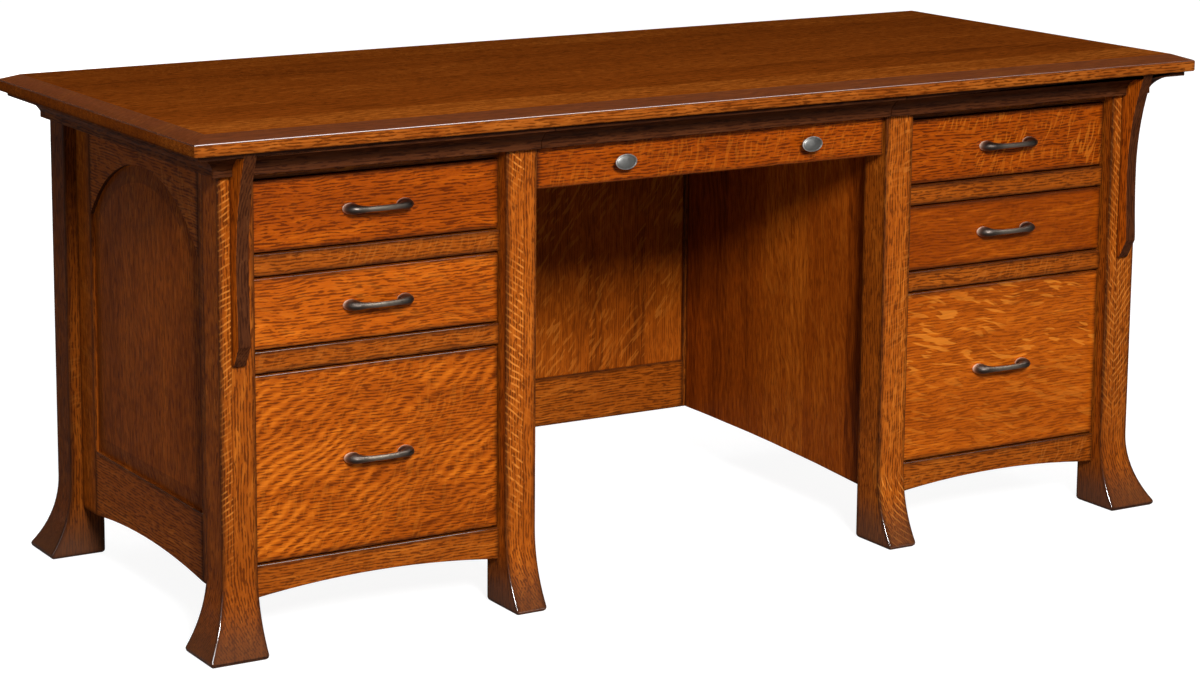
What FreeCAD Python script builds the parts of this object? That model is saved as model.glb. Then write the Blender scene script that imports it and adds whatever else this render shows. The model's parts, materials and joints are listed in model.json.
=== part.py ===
import FreeCAD, Part
import math
import os
import re

import Sketcher

# Driving dimensions of the desk, in millimetres
DIMENSIONS = {
    # Overall size
    "top_length": 1829,
    "top_depth": 762,
    "desk_height": 781,
    # Writing top with its wide shallow bevel
    "top_thickness": 28,
    "bevel_width": 29,
    "bevel_drop": 10,
    "top_arris": 2.5,
    # Legs, band-sawn to a flared foot
    "overhang": 63,
    "leg_size": 57,
    "inner_leg_width": 53,
    "kneehole_width": 650,
    "leg_flare": 36,
    "flare_rise": 117,
    "toe_height": 8,
    # Cove moulding under the top
    "moulding_height": 40,
    "lip_inset": 51.5,
    "lip_height": 10,
    "fillet_inset": 12,
    "fillet_height": 8,
    "quirk": 1.2,
    "cove_radius": 38,
    # Corbels on the front of the corner legs
    "corbel_thickness": 20,
    "corbel_height": 318,
    "corbel_toe": 7,
    "corbel_chamfer": 32,
    "corbel_nose": 24,
    "corbel_nose_height": 12,
    "corbel_waist": 20,
    "corbel_waist_rise": 150,
    "corbel_reach": 54,
    # Frames between the legs
    "frame_setback": 20,
    "frame_thickness": 20,
    "stile_width": 56.5,
    "side_frame_bottom": 82,
    "side_arch_rise": 14,
    "side_rail_height": 106,
    "arch_rail_height": 74,
    "panel_arch_rise": 106,
    "tongue_length": 8,
    "tongue_thickness": 8,
    "tenon_length": 20,
    "tenon_thickness": 12,
    "tenon_shoulder": 7,
    # Panels held in grooves
    "groove_depth": 8,
    "groove_clearance": 0.3,
    "panel_tongue": 6,
    "panel_raise": 4,
    "panel_margin": 2,
    "panel_bevel": 25,
    # Back frame
    "back_frame_bottom": 103,
    "back_rail_height": 86,
    "back_top_rail": 95,
    "mid_stile_reveal": 6,
    # Kneehole side panels
    "inner_side_setback": 15,
    "inner_side_thickness": 19,
    "inner_side_bottom": 82,
    # Rails round the drawers
    "rail_depth": 37,
    "top_rail_height": 52.5,
    "divider_height": 32.5,
    "bottom_rail_height": 50.5,
    "bottom_rail_arch": 14,
    "bottom_rail_rise": 75.5,
    "box_opening": 111,
    # Dust boards, cleats and top battens
    "dust_board_thickness": 12,
    "dust_board_drop": 7,
    "cleat_height": 52,
    "batten_size": 25,
    # Drawers
    "drawer_gap": 3,
    "drawer_side_gap": 2.5,
    "front_thickness": 20,
    "front_arris": 2.5,
    "box_back_gap": 56,
    "box_board": 12,
    "box_lift": 10,
    "box_height": 80,
    "file_head_gap": 49,
    "box_tails": 2,
    "file_tails": 5,
    "pin_width": 7,
    "tail_slope": 0.17,
    "bottom_board": 6,
    "bottom_rise": 10,
    # Centre drawer, which carries its own length of moulding
    "center_setback": 6,
    "center_top_gap": 2,
    "center_front_height": 103,
    "center_box_lift": 12,
    "center_box_height": 70,
    "center_moulding_gap": 1,
    # Ball-bearing slides
    "slide_thickness": 12.7,
    "slide_height": 45.7,
    "slide_start": 1,
    "slide_metal": 1.2,
    "slide_clearance": 0.4,
    "slide_flange": 10,
    # Bow pulls
    "pull_feet": 97,
    "pull_foot_radius": 8,
    "pull_swell_inset": 0.8,
    "pull_swell_rise": 8,
    "pull_swell_radius": 8.4,
    "pull_bend_inset": 4,
    "pull_bend_rise": 14.5,
    "pull_bend_radius": 7.2,
    "pull_neck_inset": 11,
    "pull_neck_rise": 18.8,
    "pull_neck_radius": 5.4,
    "pull_bow_inset": 24,
    "pull_bow_rise": 22.4,
    "pull_bar_radius": 4.2,
    "pull_reach": 23.6,
    # Oval knobs of the centre drawer
    "knob_spacing": 346,
    "knob_length": 38,
    "knob_width": 25,
    "knob_reach": 20,
    "knob_stem_length": 16,
    "knob_stem_width": 12,
    "knob_waist": 1.5,
    "knob_waist_rise": 7,
    "knob_rim_rise": 14,
    "knob_rim": 2,
    "knob_face_rise": 18.4,
    "knob_dome": 8,
}

doc = FreeCAD.newDocument("executive_desk")
sheet = doc.addObject("Spreadsheet::Sheet", "Dims")
for row, (alias, size) in enumerate(DIMENSIONS.items(), start=1):
    sheet.set("A%d" % row, alias)
    sheet.set("B%d" % row, str(size))
    sheet.setAlias("B%d" % row, alias)
doc.recompute()

# Places worked out from the driving dimensions
UNDERSIDE = "(desk_height - top_thickness)"
LEG_OUT_X = "(top_length / 2 - overhang)"
LEG_IN_X = "(top_length / 2 - overhang - leg_size)"
LEG_OUT_Y = "(top_depth / 2 - overhang)"
LEG_IN_Y = "(top_depth / 2 - overhang - leg_size)"
KNEE_X = "(kneehole_width / 2)"
INNER_LEG_X = "(kneehole_width / 2 + inner_leg_width)"
FRAME_OUT_X = "(top_length / 2 - overhang - frame_setback)"
FRAME_IN_X = "(top_length / 2 - overhang - frame_setback - frame_thickness)"
FACE_Y = "(top_depth / 2 - overhang - frame_setback)"
BACK_IN_Y = "(top_depth / 2 - overhang - frame_setback - frame_thickness)"
INNER_SIDE_X = "(kneehole_width / 2 + inner_side_setback)"
INNER_BACK_X = "(kneehole_width / 2 + inner_side_setback + inner_side_thickness)"
BANK_WIDTH = f"({LEG_IN_X} - {INNER_LEG_X})"
BANK_X = f"(({LEG_IN_X} + {INNER_LEG_X}) / 2)"
UPPER_Z = f"({UNDERSIDE} - top_rail_height - box_opening)"
MIDDLE_Z = f"({UPPER_Z} - divider_height - box_opening)"
FILE_Z = "(bottom_rail_rise + bottom_rail_height)"
FILE_OPENING = f"({MIDDLE_Z} - divider_height - {FILE_Z})"
FILE_BOX = f"({FILE_OPENING} - file_head_gap)"
CENTER_Z = f"({UNDERSIDE} - center_top_gap - center_front_height)"
CENTER_FACE_Y = f"({LEG_OUT_Y} - center_setback)"
BOX_LENGTH = f"({FACE_Y} - front_thickness + {BACK_IN_Y} - box_back_gap)"
SLIDE_LENGTH = f"({BOX_LENGTH} - 2 * slide_start)"
MITRE_REACH = "(overhang + frame_setback + frame_thickness)"

# Sides of the round sections of the pulls and knobs
PULL_SIDES = 14
KNOB_SIDES = 28

V = FreeCAD.Vector
NODES = {}


def bind(text):
    """The expression with every dimension read from the sheet."""

    def name(word):
        return "Dims." + word.group() if word.group() in DIMENSIONS else word.group()

    return re.sub(r"[a-z][a-z_0-9]*", name, text)


def value(text):
    return float(sheet.evalExpression(text))


def drive(target, prop, text):
    target.setExpression(prop, bind(text))


def place(target, x="0", y="0", z="0"):
    drive(target, "Placement.Base.x", x)
    drive(target, "Placement.Base.y", y)
    drive(target, "Placement.Base.z", z)


def node(name, shape_object):
    """Keeps an object as the sub-part of that name."""
    shape_object.Label = name
    NODES[name] = shape_object
    return shape_object


# Sketches, pads and pockets
def sketch_on(body, name, plane, lift="0"):
    sketch = body.newObject("Sketcher::SketchObject", name)
    support = [f for f in body.Origin.OriginFeatures if f.Role == plane][0]
    sketch.AttachmentSupport = [(support, "")]
    sketch.MapMode = "FlatFace"
    drive(sketch, "AttachmentOffset.Base.z", lift)
    return sketch


def arc_between(start, end, radius, side):
    """An arc that bulges to the left of its run where side is 1, to the right where it is -1."""
    chord = end - start
    left = V(-chord.y, chord.x, 0).normalize()
    sagitta = radius - math.sqrt(radius**2 - (chord.Length / 2) ** 2)
    return Part.Arc(start, (start + end) * 0.5 + left * side * sagitta, end)


def outline(body, name, plane, points, lift="0"):
    """A closed outline. A point is (x, y), or (x, y, radius, side) where an arc runs on from it."""
    sketch = sketch_on(body, name, plane, lift)
    count = len(points)
    corners = [V(value(point[0]), value(point[1]), 0) for point in points]
    ends = []
    for index, point in enumerate(points):
        start = corners[index]
        end = corners[(index + 1) % count]
        if len(point) > 2:
            sketch.addGeometry(arc_between(start, end, value(point[2]), point[3]))
        else:
            sketch.addGeometry(Part.LineSegment(start, end))
        first = sketch.getPoint(index, 1)
        ends.append((1, 2) if (first - start).Length < (first - end).Length else (2, 1))
    for index in range(count):
        after = (index + 1) % count
        sketch.addConstraint(
            Sketcher.Constraint("Coincident", index, ends[index][1], after, ends[after][0])
        )
    for index, point in enumerate(points):
        for kind, text in (("DistanceX", point[0]), ("DistanceY", point[1])):
            made = Sketcher.Constraint(kind, -1, 1, index, ends[index][0], value(text))
            drive(sketch, "Constraints[%d]" % sketch.addConstraint(made), text)
        if len(point) > 2:
            made = Sketcher.Constraint("Radius", index, value(point[2]))
            drive(sketch, "Constraints[%d]" % sketch.addConstraint(made), point[2])
    return sketch


def new_body(name, x="0", y="0", z="0"):
    body = doc.addObject("PartDesign::Body", name)
    place(body, x, y, z)
    return body


def pad(body, name, plane, points, length, lift="0"):
    feature = body.newObject("PartDesign::Pad", name)
    feature.Profile = outline(body, name + "_outline", plane, points, lift)
    drive(feature, "Length", length)
    return feature


def pocket_through(body, name, plane, points):
    feature = body.newObject("PartDesign::Pocket", name)
    feature.Profile = outline(body, name + "_outline", plane, points)
    feature.Type = "ThroughAll"
    feature.SideType = "Symmetric"
    return feature


def prism(name, plane, points, length, lift="0", x="0", y="0", z="0"):
    body = new_body(name, x, y, z)
    pad(body, name + "_pad", plane, points, length, lift)
    return body


def ease(body, radius, chosen):
    """Rounds the arrises of the body's last feature that the test picks out."""
    doc.recompute()
    last = body.Tip
    edges = ["Edge%d" % (i + 1) for i, edge in enumerate(last.Shape.Edges) if chosen(edge)]
    rounded = body.newObject("PartDesign::Fillet", body.Name + "_eased")
    rounded.Base = (last, edges)
    drive(rounded, "Radius", radius)
    return rounded


def loft_through(body, name, sections):
    loft = body.newObject("PartDesign::AdditiveLoft", name)
    loft.Profile = sections[0]
    loft.Sections = sections[1:]
    loft.Ruled = True
    return loft


def rectangle(x0, y0, x1, y1):
    return [(x0, y0), (x1, y0), (x1, y1), (x0, y1)]


# Boards and booleans
def board(name, size, corner):
    piece = doc.addObject("Part::Box", name)
    for prop, text in zip(("Length", "Width", "Height"), size):
        drive(piece, prop, text)
    place(piece, *corner)
    return piece


def compound(name, members):
    group = doc.addObject("Part::Compound", name)
    group.Links = members
    return group


def cut(name, base, tools):
    piece = doc.addObject("Part::Cut", name)
    piece.Base = base
    piece.Tool = tools[0] if len(tools) == 1 else compound(name + "_tools", tools)
    return piece


def mirrored(name, source, normal):
    piece = doc.addObject("Part::Mirroring", name)
    piece.Source = source
    piece.Base = V(0, 0, 0)
    piece.Normal = normal
    return piece


ACROSS = V(1, 0, 0)
ALONG = V(0, 1, 0)


# Writing top
def make_top():
    body = new_body("top_slab", z=UNDERSIDE)
    half_x = "top_length / 2"
    half_y = "top_depth / 2"
    corners = rectangle(f"-{half_x}", f"-{half_y}", half_x, half_y)
    slab = pad(body, "top_pad", "XY_Plane", corners, "top_thickness")
    doc.recompute()
    top_face = max(range(6), key=lambda i: slab.Shape.Faces[i].CenterOfMass.z)
    bevel = body.newObject("PartDesign::Chamfer", "top_bevel")
    bevel.Base = (slab, ["Face%d" % (top_face + 1)])
    bevel.ChamferType = "Two distances"
    drive(bevel, "Size", "bevel_drop")
    drive(bevel, "Size2", "bevel_width")
    doc.recompute()
    flat = max(bevel.Shape.Faces, key=lambda face: face.CenterOfMass.z)
    if abs(flat.BoundBox.XLength - value("top_length - 2 * bevel_width")) > 0.01:
        bevel.FlipDirection = True
    rim_top = value("top_thickness - bevel_drop")

    def along_the_rim(edge):
        box = edge.BoundBox
        return box.ZMax < rim_top + 0.01 and box.ZLength < 0.01

    ease(body, "top_arris", along_the_rim)
    node("top_panel", body)


# Legs
FLARE_TOP = "(toe_height + flare_rise)"
FLARE_RADIUS = "((flare_rise ^ 2 + leg_flare ^ 2) / (2 * leg_flare))"
FLARE_WASTE = [
    ("-leg_flare", "toe_height", FLARE_RADIUS, -1),
    ("0", FLARE_TOP),
    ("0", UNDERSIDE),
    ("-leg_flare", UNDERSIDE),
]


def make_leg_blanks():
    """A corner leg flares on both its outer faces and an inner leg to the front alone."""
    blanks = {}
    corner = new_body("corner_leg", f"-{LEG_OUT_X}", f"-{LEG_OUT_Y}")
    front_view = [
        ("-leg_flare", "0"),
        ("leg_size", "0"),
        ("leg_size", UNDERSIDE),
        ("0", UNDERSIDE),
        ("0", FLARE_TOP, FLARE_RADIUS, 1),
        ("-leg_flare", "toe_height"),
    ]
    depth = "leg_size + leg_flare"
    pad(corner, "corner_leg_pad", "XZ_Plane", front_view, depth, "-leg_size")
    pocket_through(corner, "corner_leg_saw", "YZ_Plane", FLARE_WASTE)
    inner = new_body("inner_leg", f"-{INNER_LEG_X}", f"-{LEG_OUT_Y}")
    straight = rectangle("0", "0", "inner_leg_width", UNDERSIDE)
    pad(inner, "inner_leg_pad", "XZ_Plane", straight, depth, "-leg_size")
    pocket_through(inner, "inner_leg_saw", "YZ_Plane", FLARE_WASTE)
    blanks["leg_front_left"] = corner
    blanks["leg_front_left_inner"] = inner
    blanks["leg_front_right_inner"] = mirrored("inner_leg_right", inner, ACROSS)
    blanks["leg_front_right"] = mirrored("corner_leg_right", corner, ACROSS)
    blanks["leg_back_left"] = mirrored("corner_leg_back", corner, ALONG)
    back = blanks["leg_back_left"]
    blanks["leg_back_right"] = mirrored("corner_leg_back_right", back, ACROSS)
    return blanks


# Corbels
def make_corbel():
    face = f"-{LEG_OUT_Y}"
    foot = f"({UNDERSIDE} - corbel_height)"
    nose_top = f"({foot} + corbel_chamfer + corbel_nose_height)"
    waist_z = f"({foot} + corbel_waist_rise)"
    lower_run = "(corbel_waist_rise - corbel_chamfer - corbel_nose_height)"
    lower_swing = "(corbel_nose - corbel_waist)"
    upper_run = "(corbel_height - corbel_waist_rise)"
    upper_swing = "(corbel_reach - corbel_waist)"
    lower = f"({lower_run} ^ 2 + {lower_swing} ^ 2) / (2 * {lower_swing})"
    upper = f"({upper_run} ^ 2 + {upper_swing} ^ 2) / (2 * {upper_swing})"
    profile = [
        (face, foot),
        (face, UNDERSIDE),
        (f"{face} - corbel_reach", UNDERSIDE, upper, 1),
        (f"{face} - corbel_waist", waist_z, lower, 1),
        (f"{face} - corbel_nose", nose_top),
        (f"{face} - corbel_nose", f"{foot} + corbel_chamfer"),
        (f"{face} - corbel_toe", foot),
    ]
    left = f"-{LEG_OUT_X} + leg_size / 2 - corbel_thickness / 2"
    return prism("corbel", "YZ_Plane", profile, "corbel_thickness", x=left)


# Cove moulding
def cove_profile(edge, sign):
    """Section of the moulding. edge is the top's edge that it follows, sign its outward way."""
    bottom = f"({UNDERSIDE} - moulding_height)"
    cove_top = f"({UNDERSIDE} - fillet_height)"
    back = f"{sign}({edge} - overhang - frame_setback)"
    lip = f"{sign}({edge} - lip_inset)"
    rim = f"{sign}({edge} - fillet_inset)"
    bend = 1 if sign == "-" else -1
    return [
        (back, bottom),
        (lip, bottom),
        (lip, f"{bottom} + lip_height", "cove_radius", -bend),
        (f"{sign}({edge} - fillet_inset - quirk)", cove_top),
        (rim, cove_top),
        (rim, UNDERSIDE),
        (back, UNDERSIDE),
    ]


def mitre_wedge(name, along_front):
    """Waste beyond the mitre plane at the front left corner of the top."""
    x = "-top_length / 2"
    y = "-top_depth / 2"
    far_x = f"{x} + {MITRE_REACH}"
    far_y = f"{y} + {MITRE_REACH}"
    third = (x, far_y) if along_front else (far_x, y)
    low = f"{UNDERSIDE} - moulding_height - lip_height"
    height = "moulding_height + 2 * lip_height"
    return prism(name, "XY_Plane", [(x, y), (far_x, far_y), third], height, z=low)


def make_mouldings(legs, corbel):
    front_waste = mitre_wedge("front_mitre", True)
    side_waste = mitre_wedge("side_mitre", False)
    side_waste_back = mirrored("side_mitre_back", side_waste, ALONG)
    back_waste = mirrored("back_mitre", front_waste, ALONG)
    back_waste_right = mirrored("back_mitre_right", back_waste, ACROSS)
    rim_x = "(top_length / 2 - fillet_inset)"
    rim_y = "(top_depth / 2 - fillet_inset)"
    front_edge = cove_profile("top_depth / 2", "-")
    run = f"{rim_x} - {KNEE_X}"
    front = prism("front_cove", "YZ_Plane", front_edge, run, x=f"-{rim_x}")
    corner_leg = legs["leg_front_left"]
    inner_leg = legs["leg_front_left_inner"]
    left = cut("moulding_front_left", front, [front_waste, corner_leg, inner_leg, corbel])
    right = mirrored("moulding_front_right", left, ACROSS)
    node("moulding_front", compound("moulding_front", [left, right]))
    side_edge = cove_profile("top_length / 2", "-")
    side = prism("side_cove", "XZ_Plane", side_edge, f"2 * {rim_y}", y=rim_y)
    back_leg = legs["leg_back_left"]
    wastes = [side_waste, side_waste_back]
    left_side = cut("moulding_side_left", side, wastes + [corner_leg, back_leg])
    right_side = mirrored("moulding_side_right", left_side, ACROSS)
    node("moulding_sides", compound("moulding_sides", [left_side, right_side]))
    back_edge = cove_profile("top_depth / 2", "+")
    rear = prism("back_cove", "YZ_Plane", back_edge, f"2 * {rim_x}", x=f"-{rim_x}")
    tools = [back_waste, back_waste_right, back_leg, legs["leg_back_right"]]
    node("moulding_back", cut("moulding_back", rear, tools))


# Side frames with their arched raised panels
SIDE_HALF = f"({LEG_IN_Y} - stile_width)"
PANEL_BOTTOM = "(side_frame_bottom + side_rail_height)"
ARCH_RADIUS = f"(({SIDE_HALF} ^ 2 + panel_arch_rise ^ 2) / (2 * panel_arch_rise))"
PANEL_SPRING = f"({UNDERSIDE} - arch_rail_height - panel_arch_rise)"
ARCH_CENTRE = f"({PANEL_SPRING} + panel_arch_rise - {ARCH_RADIUS})"


def arch_radius(half, rise):
    return f"(({half}) ^ 2 + {rise} ^ 2) / (2 * {rise})"


def arched_outline(grow):
    """The panel opening's outline, grown all round by that much."""
    half = f"({SIDE_HALF} + {grow})"
    radius = f"({ARCH_RADIUS} + {grow})"
    low = f"{PANEL_BOTTOM} - {grow}"
    spring = f"{ARCH_CENTRE} + sqrt({radius} ^ 2 - {half} ^ 2)"
    return [
        (f"-{half}", low),
        (half, low),
        (half, spring, radius, -1),
        (f"-{half}", spring),
    ]


def tongue_lift(thickness):
    return f"(frame_thickness - {thickness}) / 2"


def side_stile(name, sign):
    body = new_body(name, x=f"-{FRAME_OUT_X}")
    inner = f"{sign}{SIDE_HALF}"
    outer = f"{sign}{LEG_IN_Y}"
    tip = f"{sign}({LEG_IN_Y} + tongue_length)"
    face = rectangle(inner, "side_frame_bottom", outer, UNDERSIDE)
    pad(body, name + "_board", "YZ_Plane", face, "frame_thickness")
    strip = rectangle(inner, "side_frame_bottom", tip, UNDERSIDE)
    lift = tongue_lift("tongue_thickness")
    pad(body, name + "_tongue", "YZ_Plane", strip, "tongue_thickness", lift)
    return body


def make_side_frame():
    stiles = [side_stile("side_stile_front", "-"), side_stile("side_stile_back", "")]
    upper = new_body("side_rail_upper", x=f"-{FRAME_OUT_X}")
    half = SIDE_HALF
    reach = f"({SIDE_HALF} + tenon_length)"
    arch = [
        (f"-{half}", UNDERSIDE),
        (f"-{half}", PANEL_SPRING, ARCH_RADIUS, 1),
        (half, PANEL_SPRING),
        (half, UNDERSIDE),
    ]
    lift = tongue_lift("tenon_thickness")
    pad(upper, "side_rail_upper_board", "YZ_Plane", arch, "frame_thickness")
    low = f"{PANEL_SPRING} + panel_arch_rise + tenon_shoulder"
    high = f"{UNDERSIDE} - tenon_shoulder"
    tenon = rectangle(f"-{reach}", low, reach, high)
    pad(upper, "side_rail_upper_tenon", "YZ_Plane", tenon, "tenon_thickness", lift)
    lower = new_body("side_rail_lower", x=f"-{FRAME_OUT_X}")
    bow = arch_radius(half, "side_arch_rise")
    swept = [
        (f"-{half}", PANEL_BOTTOM),
        (f"-{half}", "side_frame_bottom", bow, 1),
        (half, "side_frame_bottom"),
        (half, PANEL_BOTTOM),
    ]
    pad(lower, "side_rail_lower_board", "YZ_Plane", swept, "frame_thickness")
    low = "side_frame_bottom + side_arch_rise + tenon_shoulder"
    high = f"{PANEL_BOTTOM} - groove_depth - tenon_shoulder"
    tenon = rectangle(f"-{reach}", low, reach, high)
    pad(lower, "side_rail_lower_tenon", "YZ_Plane", tenon, "tenon_thickness", lift)
    groove_outline = arched_outline("groove_depth")
    seat = tongue_lift("panel_tongue")
    frame_x = f"-{FRAME_OUT_X}"
    groove = prism("side_groove", "YZ_Plane", groove_outline, "panel_tongue", seat, x=frame_x)
    rails = [cut(rail.Name + "_grooved", rail, [groove]) for rail in (upper, lower)]
    posts = [cut(s.Name + "_mortised", s, [groove, upper, lower]) for s in stiles]
    left = compound("side_frame_left", rails + posts)
    node("side_frame_left", left)
    node("side_frame_right", mirrored("side_frame_right", left, ACROSS))


def make_side_panels():
    """A raised panel: its tongue fills the grooves and its field stands proud within a bevel."""
    body = new_body("side_panel", x=f"-{FRAME_OUT_X}")
    lift = tongue_lift("panel_tongue")
    sheet_outline = arched_outline("(groove_depth - groove_clearance)")
    pad(body, "side_panel_tongue", "YZ_Plane", sheet_outline, "panel_tongue", lift)
    foot = arched_outline("(-panel_margin)")
    crown = arched_outline("(-panel_margin - panel_bevel)")
    sections = [
        outline(body, "side_panel_foot", "YZ_Plane", foot, lift),
        outline(body, "side_panel_crown", "YZ_Plane", crown, f"{lift} - panel_raise"),
    ]
    loft_through(body, "side_panel_field", sections)
    right = mirrored("side_panel_right", body, ACROSS)
    node("side_panels", compound("side_panels", [body, right]))


# Back frame of four stiles, rails between them and three flat panels
MID_STILE_IN = f"({INNER_SIDE_X} - mid_stile_reveal)"
MID_STILE_OUT = f"({MID_STILE_IN} + stile_width)"
END_STILE_IN = f"({LEG_IN_X} - stile_width)"
BACK_PANEL_LOW = "(back_frame_bottom + back_rail_height)"
BACK_PANEL_HIGH = f"({UNDERSIDE} - back_top_rail)"


def back_member(name, x0, x1, z0, z1):
    body = new_body(name, y=FACE_Y)
    pad(body, name + "_board", "XZ_Plane", rectangle(x0, z0, x1, z1), "frame_thickness")
    return body


def add_tongue(body, x0, x1, z0, z1, thick):
    """A tongue or tenon of that thickness, centred in a back frame member."""
    face = rectangle(x0, z0, x1, z1)
    pad(body, body.Name + "_tongue", "XZ_Plane", face, thick, tongue_lift(thick))


def back_rail(name, x0, x1, z0, z1, tenon_low, tenon_high):
    rail = back_member(name, x0, x1, z0, z1)
    ends = (f"{x0} - tenon_length", f"{x1} + tenon_length")
    add_tongue(rail, *ends, tenon_low, tenon_high, "tenon_thickness")
    return rail


def make_back():
    panels = []
    grooves = []
    rails = []
    depth = "(groove_depth - groove_clearance)"
    tall = f"{BACK_PANEL_HIGH} - {BACK_PANEL_LOW}"
    lower_tenon = (
        "back_frame_bottom + tenon_shoulder",
        f"{BACK_PANEL_LOW} - groove_depth - tenon_shoulder",
    )
    upper_tenon = (
        f"{BACK_PANEL_HIGH} + groove_depth + tenon_shoulder",
        f"{UNDERSIDE} - tenon_shoulder",
    )
    spans = [
        ("left", f"-{END_STILE_IN}", f"-{MID_STILE_OUT}"),
        ("middle", f"-{MID_STILE_IN}", MID_STILE_IN),
        ("right", MID_STILE_OUT, END_STILE_IN),
    ]
    for side, x0, x1 in spans:
        wide = f"({x1} - ({x0}))"
        for label, grow, pieces in (("panel", depth, panels), ("groove", "groove_depth", grooves)):
            size = (f"{wide} + 2 * {grow}", "panel_tongue", f"{tall} + 2 * {grow}")
            y = f"{FACE_Y} - frame_thickness / 2 - panel_tongue / 2"
            corner = (f"{x0} - {grow}", y, f"{BACK_PANEL_LOW} - {grow}")
            pieces.append(board(f"back_{label}_{side}", size, corner))
        span = (x0, x1, "back_frame_bottom", BACK_PANEL_LOW)
        rails.append(back_rail(f"back_rail_lower_{side}", *span, *lower_tenon))
        span = (x0, x1, BACK_PANEL_HIGH, UNDERSIDE)
        rails.append(back_rail(f"back_rail_upper_{side}", *span, *upper_tenon))
    stiles = []
    height = ("back_frame_bottom", UNDERSIDE)
    for side, sign in (("left", "-"), ("right", "+")):
        end_stile = (f"{sign}{END_STILE_IN}", f"{sign}{LEG_IN_X}")
        mid_stile = (f"{sign}{MID_STILE_IN}", f"{sign}{MID_STILE_OUT}")
        post = back_member(f"back_stile_end_{side}", *end_stile, *height)
        tip = f"{sign}({LEG_IN_X} + tongue_length)"
        add_tongue(post, end_stile[0], tip, *height, "tongue_thickness")
        stiles += [post, back_member(f"back_stile_mid_{side}", *mid_stile, *height)]
    members = [cut(rail.Name + "_grooved", rail, grooves) for rail in rails]
    members += [cut(stile.Name + "_mortised", stile, grooves + rails) for stile in stiles]
    node("back_frame", compound("back_frame", members))
    node("back_panels", compound("back_panels", panels))


# Kneehole sides
def make_inner_sides():
    """The foot of each side sweeps up from its leg to the level of the back frame."""
    body = new_body("inner_side", x=f"-{INNER_BACK_X}")
    sweep = arch_radius(f"{LEG_IN_Y} + {BACK_IN_Y}", "(back_frame_bottom - inner_side_bottom)")
    face = [
        (f"-{LEG_IN_Y}", UNDERSIDE),
        (f"-{LEG_IN_Y}", "inner_side_bottom", sweep, 1),
        (BACK_IN_Y, "back_frame_bottom"),
        (BACK_IN_Y, UNDERSIDE),
    ]
    pad(body, "inner_side_board", "YZ_Plane", face, "inner_side_thickness")
    tip = f"-{LEG_IN_Y} - tongue_length"
    strip = rectangle(tip, "back_frame_bottom", f"-{LEG_IN_Y} + tongue_length", UNDERSIDE)
    lift = "(inner_side_thickness - tongue_thickness) / 2"
    pad(body, "inner_side_tongue", "YZ_Plane", strip, "tongue_thickness", lift)
    node("inner_side_left", body)
    node("inner_side_right", mirrored("inner_side_right", body, ACROSS))


# Rails round the drawers, tenoned into the legs
def bank_rail(name, low, height, arch=None):
    body = new_body(name, y=f"-{FACE_Y} + rail_depth")
    x0 = f"-{LEG_IN_X}"
    x1 = f"-{INNER_LEG_X}"
    high = f"{low} + {height}"
    if arch:
        bow = arch_radius(f"{BANK_WIDTH} / 2", arch)
        face = [(x0, high), (x0, low, bow, 1), (x1, low), (x1, high)]
        foot = f"{low} + {arch} + tenon_shoulder"
    else:
        face = rectangle(x0, low, x1, high)
        foot = f"{low} + tenon_shoulder"
    pad(body, name + "_board", "XZ_Plane", face, "rail_depth")
    reach = "tenon_length"
    tenon = rectangle(f"{x0} - {reach}", foot, f"{x1} + {reach}", f"{high} - tenon_shoulder")
    lift = "(rail_depth - tenon_thickness) / 2"
    pad(body, name + "_tenon", "XZ_Plane", tenon, "tenon_thickness", lift)
    return body


def make_rails():
    upper = f"({UPPER_Z} - divider_height)"
    middle = f"({MIDDLE_Z} - divider_height)"
    rails = [
        bank_rail("rail_top", f"({UPPER_Z} + box_opening)", "top_rail_height"),
        bank_rail("rail_upper", upper, "divider_height"),
        bank_rail("rail_middle", middle, "divider_height"),
        bank_rail("rail_bottom", "bottom_rail_rise", "bottom_rail_height", "bottom_rail_arch"),
    ]
    left = compound("rails_left", rails)
    node("rails_left", left)
    node("rails_right", mirrored("rails_right", left, ACROSS))


def make_legs(blanks):
    """Each leg is mortised and grooved by what it receives."""
    receives = {
        "leg_front_left": ["rails_left", "side_frame_left"],
        "leg_front_left_inner": ["rails_left", "inner_side_left"],
        "leg_front_right_inner": ["rails_right", "inner_side_right"],
        "leg_front_right": ["rails_right", "side_frame_right"],
        "leg_back_left": ["back_frame", "side_frame_left"],
        "leg_back_right": ["back_frame", "side_frame_right"],
    }
    for name, tools in receives.items():
        node(name, cut(name, blanks[name], [NODES[tool] for tool in tools]))


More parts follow.
